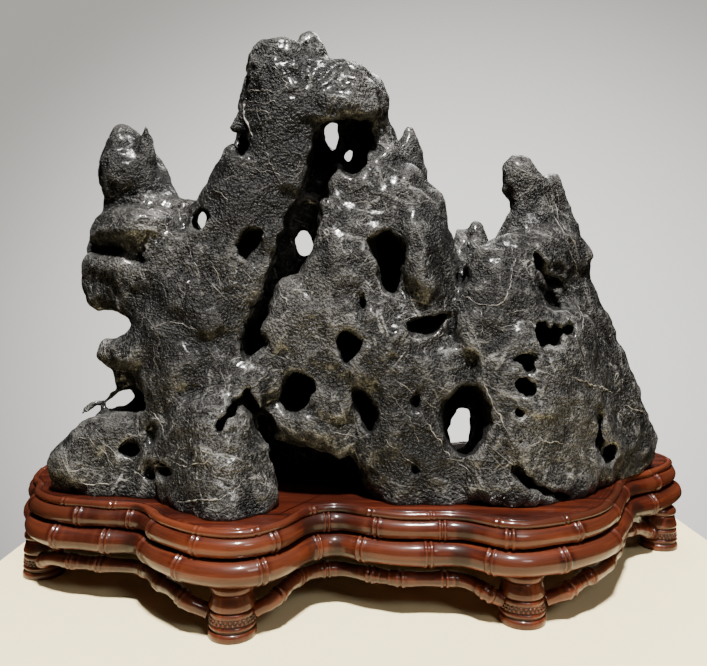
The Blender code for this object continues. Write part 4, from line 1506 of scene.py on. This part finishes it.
class NodeSheet:
    """Adds and joins the nodes of one tree."""

    def __init__(self, tree: bpy.types.NodeTree) -> None:
        """Start on a tree.

        Args:
            tree: the node tree to build in.
        """
        self.tree = tree
        self.column = 0

    def add(self, kind: str, **inputs: Any) -> Node:
        """Add a node and set or join its inputs.

        Args:
            kind: the node's type.
            **inputs: settings of the node, or sockets and values for the inputs of the same
                name, with spaces written as underscores.

        Returns:
            The node.
        """
        node = self.tree.nodes.new(kind)
        node.location = (self.column * 190, -(self.column % 5) * 160)
        self.column += 1
        for key, value in inputs.items():
            if isinstance(value, Socket) or not hasattr(node, key):
                self.fill(node.inputs[key.replace("_", " ")], value)
            else:
                setattr(node, key, value)
        return node

    def fill(self, socket: Socket, value: Any) -> None:
        """Join a socket to another, or give it a fixed value.

        Args:
            socket: the input to fill.
            value: a socket, a number or a tuple.
        """
        if isinstance(value, Socket):
            self.tree.links.new(value, socket)
        else:
            socket.default_value = value

    def dress(self, shader: Node, **inputs: Any) -> None:
        """Fill a shader's inputs, with the spaces in their names written as underscores."""
        for key, value in inputs.items():
            self.fill(shader.inputs[key.replace("_", " ")], value)

    def math(self, operation: str, *values: Any) -> Socket:
        """Add a Math node.

        Args:
            operation: what it does.
            *values: its inputs, sockets or numbers.

        Returns:
            The result.
        """
        node = self.add("ShaderNodeMath", operation=operation)
        for socket, value in zip(node.inputs, values):
            self.fill(socket, value)
        return node.outputs[0]

    def times(self, first: Any, second: Any) -> Socket:
        """Multiply two values."""
        return self.math("MULTIPLY", first, second)

    def plus(self, first: Any, second: Any) -> Socket:
        """Add two values."""
        return self.math("ADD", first, second)

    def less(self, first: Any, second: Any) -> Socket:
        """Take the second value from the first."""
        return self.math("SUBTRACT", first, second)

    def off_middle(self, value: Any) -> Socket:
        """Return how far a value lies from 0.5, either way."""
        return self.math("ABSOLUTE", self.less(value, 0.5))

    def noise(self, vector: Socket, scale: Any, detail: float = 2.0,
              roughness: float = 0.5, distortion: float = 0.0) -> Socket:
        """Add a Noise texture and return its value."""
        return self.add("ShaderNodeTexNoise", Vector=vector, Scale=scale, Detail=detail,
                        Roughness=roughness, Distortion=distortion).outputs[0]

    def draw(self, where: Socket, pattern: Pattern) -> Socket:
        """Draw a pattern.

        Args:
            where: the coordinates that it is drawn in.
            pattern: what it is like.

        Returns:
            Its value.
        """
        value = self.noise(where, pattern.scale, pattern.detail, pattern.roughness,
                           pattern.distortion)
        return self.spread(value, *pattern.ends) if pattern.ends else value

    def spread(self, value: Any, low: Any, high: Any, to_low: float = 0.0,
               to_high: float = 1.0) -> Socket:
        """Stretch a value from one range to another with soft ends.

        Args:
            value: the value.
            low: where the range starts.
            high: where it ends.
            to_low: what its start becomes.
            to_high: what its end becomes.

        Returns:
            The stretched value.
        """
        node = self.add("ShaderNodeMapRange", interpolation_type="SMOOTHSTEP")
        for socket, number in zip(node.inputs, (value, low, high, to_low, to_high)):
            self.fill(socket, number)
        return node.outputs[0]

    def blend(self, factor: Any, first: Any, second: Any) -> Socket:
        """Mix two colours.

        Args:
            factor: how much of the second colour there is.
            first: a colour, as a socket or three numbers.
            second: the other colour.

        Returns:
            The mixed colour.
        """
        node = self.add("ShaderNodeMix", data_type="RGBA")
        for index, value in ((0, factor), (6, first), (7, second)):
            if isinstance(value, tuple):
                value = (*value, 1.0)
            self.fill(node.inputs[index], value)
        return node.outputs[2]

    def place(self, vector: Socket, size: Triple = (1.0, 1.0, 1.0),
              turn: Triple = (0.0, 0.0, 0.0)) -> Socket:
        """Stretch and turn a pattern's coordinates."""
        return self.add("ShaderNodeMapping", Vector=vector, Scale=size,
                        Rotation=turn).outputs[0]

    def own_place(self) -> Socket:
        """Return where on its object a point lies."""
        return self.add("ShaderNodeTexCoord").outputs["Object"]

    def stored(self, name: str) -> Socket:
        """Return a value that the mesh stores at each point."""
        return self.add("ShaderNodeAttribute", attribute_name=name).outputs["Fac"]

    def bump(self, height: Socket, strength: float, distance: float) -> Socket:
        """Return the normal of a height, whose full depth is a distance in metres."""
        return self.add("ShaderNodeBump", Height=height, Strength=strength,
                        Distance=distance).outputs[0]

    def group(self, group: bpy.types.NodeTree, **inputs: Any) -> Node:
        """Place a node group with its own input values.

        Args:
            group: the group.
            **inputs: the group's inputs.

        Returns:
            The group node.
        """
        node = self.add("ShaderNodeGroup", node_tree=group)
        self.dress(node, **inputs)
        return node


def node_group(name: str, inputs: Mapping[str, float | None], outputs: Iterable[str],
               build: Callable[[NodeSheet, Any, Any], None]) -> bpy.types.NodeTree:
    """Build a shader node group once.

    Args:
        name: the group's name.
        inputs: its inputs, each with its first value, or None for a vector.
        outputs: the names of its outputs, which are all numbers.
        build: draws the group's nodes between its input and output sockets.

    Returns:
        The group.
    """
    made = bpy.data.node_groups.get(name)
    if made:
        return made
    made = bpy.data.node_groups.new(name, "ShaderNodeTree")
    for label, value in inputs.items():
        kind = "NodeSocketVector" if value is None else "NodeSocketFloat"
        socket = made.interface.new_socket(name=label, in_out="INPUT", socket_type=kind)
        if value is not None:
            socket.default_value = value
    for label in outputs:
        made.interface.new_socket(name=label, in_out="OUTPUT", socket_type="NodeSocketFloat")
    entry = made.nodes.new("NodeGroupInput")
    leave = made.nodes.new("NodeGroupOutput")
    build(NodeSheet(made), entry.outputs, leave.inputs)
    return made


def hairline_group() -> bpy.types.NodeTree:
    """Make the group that draws short, thin, nearly straight pale strokes.

    Returns:
        The group.
    """
    def build(sheet: NodeSheet, given: Any, made: Any) -> None:
        """Draw lines where a soft noise crosses its middle, and only in patches.

        Args:
            sheet: the group's nodes.
            given: the group's inputs.
            made: the group's outputs.
        """
        course = sheet.noise(given["Vector"], given["Scale"], 1.0, 0.4)
        line = sheet.spread(sheet.off_middle(course), 0.0, given["Width"], 1.0, 0.0)
        patch = sheet.noise(given["Vector"], sheet.times(given["Scale"], 0.9), 2.0)
        shown = sheet.spread(patch, given["Cover"], sheet.plus(given["Cover"], 0.15))
        sheet.fill(made["Line"], sheet.times(line, shown))

    return node_group("hairlines", {"Vector": None, "Scale": 60.0, "Width": 0.01,
                                    "Cover": 0.5}, ["Line"], build)


def wear_group() -> bpy.types.NodeTree:
    """Make the group that tells rubbed ridges and hollows from stored relief; the hollows are
    painted darker, with painted shade on the stone and painted shade and dirt on the wood.

    Returns:
        The group.
    """
    def build(sheet: NodeSheet, given: Any, made: Any) -> None:
        """Break the stored relief up with specks, then take its top and its bottom.

        Args:
            sheet: the group's nodes.
            given: the group's inputs.
            made: the group's outputs.
        """
        relief = sheet.stored("relief")
        speck = sheet.noise(given["Vector"], given["Scale"], 3.0, 0.6)
        height = sheet.plus(relief, sheet.times(sheet.less(speck, 0.5), 0.25))
        sheet.fill(made["Ridge"], sheet.spread(height, 0.55, 0.85))
        sheet.fill(made["Hollow"], sheet.spread(height, 0.45, 0.15))

    return node_group("wear", {"Vector": None, "Scale": 120.0}, ["Ridge", "Hollow"], build)


def grain_group() -> bpy.types.NodeTree:
    """Make the group that draws long streaks and short pores of hardwood.

    Returns:
        The group.
    """
    def build(sheet: NodeSheet, given: Any, made: Any) -> None:
        """Draw bands and fine streaks along X, and pores as short dashes.

        Args:
            sheet: the group's nodes.
            given: the group's inputs.
            made: the group's outputs.
        """
        band = sheet.noise(sheet.place(given["Vector"], (5.0, 60.0, 60.0)), 1.0, 4.0, 0.55, 0.6)
        fine = sheet.noise(sheet.place(given["Vector"], (18.0, 420.0, 420.0)), 1.0, 3.0, 0.6)
        pore = sheet.noise(sheet.place(given["Vector"], (110.0, 1500.0, 1500.0)), 1.0, 1.0)
        streak = sheet.plus(sheet.times(band, 0.7), sheet.times(fine, 0.3))
        sheet.fill(made["Streak"], sheet.spread(streak, 0.32, 0.68))
        sheet.fill(made["Pore"], sheet.spread(pore, 0.6, 0.72))

    return node_group("grain", {"Vector": None}, ["Streak", "Pore"], build)


def new_finish(name: str) -> tuple[bpy.types.Material, NodeSheet, Node]:
    """Start a material.

    Args:
        name: its name.

    Returns:
        The material, its node sheet and its Principled shader.
    """
    made = bpy.data.materials.new(name)
    made.use_nodes = True
    return made, NodeSheet(made.node_tree), made.node_tree.nodes["Principled BSDF"]


@dataclass(frozen=True)
class Strokes:
    """One set of fine pale strokes that run the same way."""

    turn: Triple                # which way they run, in radians
    scale: float                # how densely they lie
    width: float
    cover: float                # how much of the stone they leave free
    strength: float


@dataclass(frozen=True)
class LimestoneFinish:
    """Near-black limestone with fine pale lines, waxed by handling."""

    dark: Triple = (0.0015, 0.0015, 0.0016)
    light: Triple = (0.0050, 0.0048, 0.0046)
    brown: Triple = (0.013, 0.0102, 0.0078)
    # painted light: the colour that the paler zones are lightened towards
    pale: Triple = (0.050, 0.0480, 0.0445)
    line: Triple = (0.40, 0.392, 0.372)
    hollow_painted_shade: Triple = (0.002, 0.002, 0.002)       # painted shade deep in a hollow
    strokes: tuple[Strokes, ...] = (
        Strokes((0.15, 0.35, 0.0), 125.0, 0.056, 0.53, 0.42),
        Strokes((-0.15, 1.25, 0.0), 110.0, 0.056, 0.53, 0.42),
        Strokes((0.1, -0.65, 0.0), 140.0, 0.056, 0.54, 0.42),
        Strokes((0.2, -1.15, 0.0), 100.0, 0.046, 0.55, 0.46),
        Strokes((1.2, 0.2, 0.0), 120.0, 0.056, 0.54, 0.38),
        Strokes((0.1, 0.8, 0.0), 60.0, 0.013, 0.52, 0.8),
        Strokes((-0.2, -0.35, 0.0), 52.0, 0.013, 0.54, 0.8),
    )
    stroke_stretch: Triple = (1.0, 1.0, 0.11)   # draws the strokes out
    cloud: Pattern = Pattern(14.0, 5.0, 0.62)
    mottle: Pattern = Pattern(85.0, 5.0, 0.7)
    grit: Pattern = Pattern(420.0, 1.5, 0.6)
    crumple: Pattern = Pattern(170.0, 3.0, 0.55, 0.8)
    speck: Pattern = Pattern(600.0, 1.0, ends=(0.43, 0.60))
    murk: Pattern = Pattern(34.0, 4.0, 0.68, 0.5, (0.52, 0.40))
    stain: Pattern = Pattern(22.0, 3.0, 0.6, ends=(0.56, 0.72))
    dark_speck: float = 0.65                    # how dark and how pale the specks are
    pale_speck: float = 0.058
    brown_share: float = 0.25                   # and how strong each later layer is
    # painted light on the paler zones
    painted_light_share: float = 0.8
    murk_share: float = 0.7
    rubbed_share: float = 0.10
    # painted shade in the relief's hollows
    painted_shade_and_dirt_share: float = 0.75
    # painted shade on the darker zones
    painted_shade_share: float = 0.75
    # painted shade deep in the hollows
    hollow_painted_shade_share: float = 0.92
    roughness: float = 0.42
    specular: float = 0.18
    wax: float = 0.50
    wax_roughness: float = 0.19
    bump: Pair = (0.95, 0.0022)                 # strength, and depth in metres

    def drawn_lines(self, sheet: NodeSheet, where: Socket) -> Socket:
        """Draw every set of strokes.

        Args:
            sheet: the material's nodes.
            where: the point on the stone.

        Returns:
            How strongly a stroke shows at the point.
        """
        drawn = []
        for kind in self.strokes:
            course = sheet.place(sheet.place(where, turn=kind.turn), self.stroke_stretch)
            node = sheet.group(hairline_group(), Vector=course, Scale=kind.scale,
                               Width=kind.width, Cover=kind.cover)
            drawn.append(sheet.times(node.outputs["Line"], kind.strength))
        return reduce(partial(sheet.math, "MAXIMUM"), drawn)

    def build(self) -> bpy.types.Material:
        """Paint the stone's own colours and lines, then the painted light and shade of its zones
        and hollows, then wax and roughen it.

        Returns:
            The material.
        """
        made, sheet, shader = new_finish("black limestone")
        where = sheet.own_place()
        cloud, mottle, grit, crumple, speck, murk, stain = (
            sheet.draw(where, pattern) for pattern in
            (self.cloud, self.mottle, self.grit, self.crumple, self.speck, self.murk,
             self.stain))
        lines = self.drawn_lines(sheet, where)
        wear = sheet.group(wear_group(), Vector=where, Scale=150.0)
        painted_lighting, deep = sheet.stored("painted_lighting"), sheet.stored("deep")

        shade = sheet.plus(sheet.times(cloud, 0.45), sheet.times(mottle, 0.55))
        colour = sheet.blend(sheet.spread(shade, 0.42, 0.60), self.dark, self.light)
        # brown stains, then painted light that lightens the paler zones
        for factor, second in (
                (sheet.times(stain, self.brown_share), self.brown),
                (sheet.spread(painted_lighting, 0.5, 1.0, 0.0, self.painted_light_share), self.pale)):
            colour = sheet.blend(factor, colour, second)
        colour = sheet.blend(speck, sheet.blend(self.dark_speck, colour, self.dark),
                             sheet.blend(self.pale_speck, colour, self.line))
        faint = sheet.times(lines, sheet.spread(cloud, 0.35, 0.65, 0.35, 1.0))
        # pale lines, dark murk and rubbed ridges, then painted shade in the relief's hollows, on
        # the darker zones and deep in the hollows
        for factor, second in (
                (faint, self.line),
                (sheet.times(murk, self.murk_share), self.dark),
                (sheet.times(wear.outputs["Ridge"], self.rubbed_share), self.line),
                (sheet.times(wear.outputs["Hollow"], self.painted_shade_and_dirt_share), self.dark),
                (sheet.spread(painted_lighting, 0.5, 0.0, 0.0, self.painted_shade_share), self.dark),
                (sheet.times(deep, self.hollow_painted_shade_share), self.hollow_painted_shade)):
            colour = sheet.blend(factor, colour, second)

        rough = sheet.plus(self.roughness - 0.1, sheet.times(mottle, 0.28))
        wax = sheet.spread(mottle, 0.42, 0.6, 0.2 * self.wax, 1.6 * self.wax)
        for mask, least, most in ((speck, 0.35, 1.25), (painted_lighting, 0.3, 1.5), (murk, 1.25, 0.4)):
            wax = sheet.times(wax, sheet.spread(mask, 0.0, 1.0, least, most))
        height = sheet.times(mottle, 0.8)
        for pattern, weight in ((sheet.off_middle(crumple), -1.6), (grit, 1.7), (lines, 0.8)):
            height = sheet.plus(height, sheet.times(pattern, weight))
        sheet.dress(shader, Base_Color=colour,
                    Roughness=sheet.plus(rough, sheet.times(deep, 0.5)),
                    Coat_Weight=sheet.times(wax, sheet.less(1.0, deep)),
                    Coat_Roughness=self.wax_roughness, Specular_IOR_Level=self.specular,
                    Normal=sheet.bump(height, *self.bump))
        return made


@dataclass(frozen=True)
class CalciteFinish:
    """Dull cream calcite, dirtied by handling."""

    clean: Triple = (0.22, 0.205, 0.18)
    dirty: Triple = (0.045, 0.042, 0.037)
    roughness: float = 0.5
    dirt: Pattern = Pattern(130.0, 4.0, 0.65, ends=(0.42, 0.62))
    grain: Pattern = Pattern(900.0, 2.0, 0.6)
    bump: Pair = (0.4, 0.0005)                  # strength, and depth in metres

    def build(self) -> bpy.types.Material:
        """Paint the calcite in two patchy tones.

        Returns:
            The material.
        """
        made, sheet, shader = new_finish("calcite")
        where = sheet.own_place()
        colour = sheet.blend(sheet.draw(where, self.dirt), self.clean, self.dirty)
        sheet.dress(shader, Base_Color=colour, Roughness=self.roughness,
                    Normal=sheet.bump(sheet.draw(where, self.grain), *self.bump))
        return made


class GrainPath(Enum):
    """What the wood's grain follows."""

    PIECE = "grain"             # the piece's own length, from its UV map
    BOARD = "board"             # straight along the board
    UPRIGHT = "upright"         # up a foot


@dataclass(frozen=True)
class LacquerFinish:
    """Red-brown hardwood under a glossy clear lacquer."""

    name: str
    path: GrainPath
    dark: Triple = (0.0120, 0.0020, 0.0010)
    middle: Triple = (0.040, 0.0062, 0.0024)
    light: Triple = (0.100, 0.0200, 0.0068)
    # the pores' colour, and the painted shade and dirt in the grooves
    crevice: Triple = (0.012, 0.0035, 0.002)
    rubbed: Triple = (0.115, 0.033, 0.0145)
    roughness: float = 0.45
    specular: float = 0.12
    lacquer: float = 0.5
    lacquer_roughness: float = 0.13
    thin_lacquer: float = 0.3                   # in the grooves
    patch: Pattern = Pattern(11.0, 3.0, 0.55, ends=(0.35, 0.65))
    smear: Pattern = Pattern(45.0, 3.0, 0.6)
    patch_share: float = 0.55                   # how strong each layer is
    pore_share: float = 0.55
    # painted shade and dirt in the grooves
    painted_shade_and_dirt_share: float = 0.85
    rubbed_share: float = 0.25
    bump: Pair = (0.25, 0.0004)                 # strength, and depth in metres

    def coordinates(self, sheet: NodeSheet) -> Socket:
        """Find the coordinates that the grain runs along.

        Args:
            sheet: the material's nodes.

        Returns:
            The coordinates, with X along the grain.
        """
        if self.path is GrainPath.PIECE:
            return sheet.add("ShaderNodeUVMap", uv_map=self.path.value).outputs[0]
        turn = (0.0, math.pi / 2, 0.0) if self.path is GrainPath.UPRIGHT else (0.0, 0.0, 0.06)
        return sheet.place(sheet.own_place(), turn=turn)

    def build(self) -> bpy.types.Material:
        """Paint the grain, then the pores, the painted shade and dirt in the grooves and the rubbed
        edges.

        Returns:
            The material.
        """
        made, sheet, shader = new_finish(self.name)
        where = sheet.own_place()
        grain = sheet.group(grain_group(), Vector=self.coordinates(sheet))
        streak, pore = grain.outputs["Streak"], grain.outputs["Pore"]
        wear = sheet.group(wear_group(), Vector=where, Scale=260.0)
        colour = sheet.blend(sheet.spread(streak, 0.0, 0.55), self.dark, self.middle)
        colour = sheet.blend(sheet.spread(streak, 0.5, 1.0), colour, self.light)
        colour = sheet.blend(sheet.draw(where, self.patch),
                             sheet.blend(self.patch_share, colour, self.dark), colour)
        for mask, share, second in ((pore, self.pore_share, self.crevice),
                                    # painted shade and dirt in the grooves
                                    (wear.outputs["Hollow"], self.painted_shade_and_dirt_share, self.crevice),
                                    (wear.outputs["Ridge"], self.rubbed_share, self.rubbed)):
            colour = sheet.blend(sheet.times(mask, share), colour, second)
        smear = sheet.draw(where, self.smear)
        height = sheet.plus(sheet.times(streak, 0.5), sheet.times(pore, -0.6))
        sheet.dress(shader, Base_Color=colour,
                    Roughness=sheet.plus(self.roughness - 0.08, sheet.times(smear, 0.2)),
                    Coat_Weight=sheet.spread(wear.outputs["Hollow"], 0.0, 1.0,
                                             self.lacquer, self.thin_lacquer),
                    Coat_Roughness=self.lacquer_roughness, Specular_IOR_Level=self.specular,
                    Normal=sheet.bump(height, *self.bump))
        return made


@dataclass(frozen=True)
class PlasterFinish:
    """The plain pale paint of the plinth."""

    colour: Triple = (0.94, 0.81, 0.47)
    shade: Triple = (0.89, 0.76, 0.43)
    roughness: float = 0.75
    patch: Pattern = Pattern(6.0, 4.0, 0.6)
    speckle: Pattern = Pattern(260.0, 2.0)
    bump: Pair = (0.15, 0.0006)                 # strength, and depth in metres

    def build(self) -> bpy.types.Material:
        """Paint the plinth in two close tones.

        Returns:
            The material.
        """
        made, sheet, shader = new_finish("pale plinth paint")
        where = sheet.own_place()
        colour = sheet.blend(sheet.draw(where, self.patch), self.shade, self.colour)
        sheet.dress(shader, Base_Color=colour, Roughness=self.roughness,
                    Normal=sheet.bump(sheet.draw(where, self.speckle), *self.bump))
        return made


# ------------------------------------------------------------------ the setting


@dataclass
class Plinth:
    """The plain pale plinth that the stand stands on."""

    left: float = -367.0
    right: float = 374.0
    front: float = -420.0
    back: float = 330.0
    depth: float = 700.0
    edge: float = 1.5

    def build(self, finish: bpy.types.Material) -> None:
        """Model the plinth and give it its paint.

        Args:
            finish: its paint.
        """
        deselect_all()
        middle = ((self.left + self.right) / 2 * MM, (self.front + self.back) / 2 * MM,
                  -self.depth / 2 * MM)
        bpy.ops.mesh.primitive_cube_add(size=1.0, location=middle)
        plinth = bpy.context.object
        plinth.scale = ((self.right - self.left) * MM, (self.back - self.front) * MM,
                        self.depth * MM)
        settle(plinth)
        work(plinth, "BEVEL", "softened edges", width=self.edge * MM, segments=3)
        plinth.name = "plinth"
        plinth.data.materials.append(finish)


@dataclass(frozen=True)
class Lamp:
    """One soft studio lamp."""

    name: str
    place: Triple
    aim: Triple
    size: float
    power: float
    colour: Triple = (1.0, 0.97, 0.93)

    def build(self) -> None:
        """Hang the lamp and turn it to what it lights."""
        light = bpy.data.lights.new(self.name, "AREA")
        light.shape = "DISK"
        light.size = self.size
        light.energy = self.power
        light.color = self.colour
        thing = bpy.data.objects.new(self.name, light)
        bpy.context.scene.collection.objects.link(thing)
        thing.location = self.place
        way = Vector(self.aim) - Vector(self.place)
        thing.rotation_euler = way.to_track_quat("-Z", "Y").to_euler()


@dataclass
class Studio:
    """Plain soft light, a pale backdrop and the camera."""

    lamps: tuple[Lamp, ...] = (
        Lamp("key", (0.12, -1.4, 3.25), (0.0, 0.0, 0.2), 0.30, 480.0),
        Lamp("front", (0.8, -1.5, 1.3), (0.0, 0.0, 0.25), 0.5, 9.0),
        Lamp("back", (0.5, 1.4, 1.9), (0.0, 0.0, 0.25), 0.8, 24.0),
    )
    wall_painted_light: Triple = (1.0, 0.98, 0.94)       # painted light round the rock
    wall_painted_shade: Triple = (0.28, 0.268, 0.25)      # painted shade in the upper corners
    wall_middle: Pair = (0.1, -0.1)             # direction of its brightest place, X and Z
    wall_narrow: Pair = (1.8, 2.1)              # how fast it darkens across and upwards
    wall_range: Pair = (-0.2, 1.5)              # between the painted light and the painted shade
    wall_glow: float = 1.7
    fill: float = 0.045
    camera_place: Triple = (-0.0111, -0.7077, 0.272)
    lens: float = 36.05
    drop: float = -43.0 / 707.0                 # how far the frame is shifted down

    def build_backdrop(self) -> None:
        """Give the air round the plinth a pale grey that also fills the shadows, with a painted
        pool of light: brightest round the rock, darker towards the upper corners.
        """
        world = bpy.data.worlds.new("pale wall")
        bpy.context.scene.world = world
        world.use_nodes = True
        sheet = NodeSheet(world.node_tree)
        way = sheet.add("ShaderNodeTexCoord").outputs["Generated"]
        parts = sheet.add("ShaderNodeSeparateXYZ", Vector=way).outputs
        squares = []
        for name, middle, narrow in zip("XZ", self.wall_middle, self.wall_narrow):
            off = sheet.times(sheet.less(parts[name], middle), narrow)
            squares.append(sheet.times(off, off))
        seen = sheet.add("ShaderNodeLightPath").outputs["Is Camera Ray"]
        sheet.dress(
            world.node_tree.nodes["Background"],
            # a painted pool of light on the backdrop, brightest round the rock
            Color=sheet.blend(sheet.spread(sheet.plus(*squares), *self.wall_range),
                              self.wall_painted_light, self.wall_painted_shade),
            Strength=sheet.spread(seen, 0.0, 1.0, self.fill, self.wall_glow))

    def build_camera(self) -> None:
        """Set the camera in front, level, a little above the rock's middle."""
        lens = bpy.data.cameras.new("camera")
        lens.lens = self.lens
        lens.sensor_width = 36.0
        lens.shift_y = self.drop
        lens.clip_start = 0.01
        camera = bpy.data.objects.new("camera", lens)
        bpy.context.scene.collection.objects.link(camera)
        camera.location = self.camera_place
        camera.rotation_euler = (math.pi / 2, 0.0, 0.0)
        bpy.context.scene.camera = camera

    def build(self) -> None:
        """Set up the backdrop, the lamps and the camera."""
        self.build_backdrop()
        for lamp in self.lamps:
            lamp.build()
        self.build_camera()


def main() -> None:
    """Build and dress every piece, then the setting."""
    logging.basicConfig(level=logging.INFO, format="%(message)s")
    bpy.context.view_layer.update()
    rail_wood = LacquerFinish("lacquered rail wood", GrainPath.PIECE).build()
    board_wood = LacquerFinish("lacquered board wood", GrainPath.BOARD).build()
    foot_wood = LacquerFinish("lacquered foot wood", GrainPath.UPRIGHT).build()
    rock = Rock().build(LimestoneFinish().build())
    Veins().build(rock, CalciteFinish().build())
    SeatBoard().build(board_wood)
    Rails().build(rail_wood)
    Foot().build(foot_wood)
    Stems().build(rail_wood)
    Plinth().build(PlasterFinish().build())
    Studio().build()


if __name__ == "__main__":
    main()
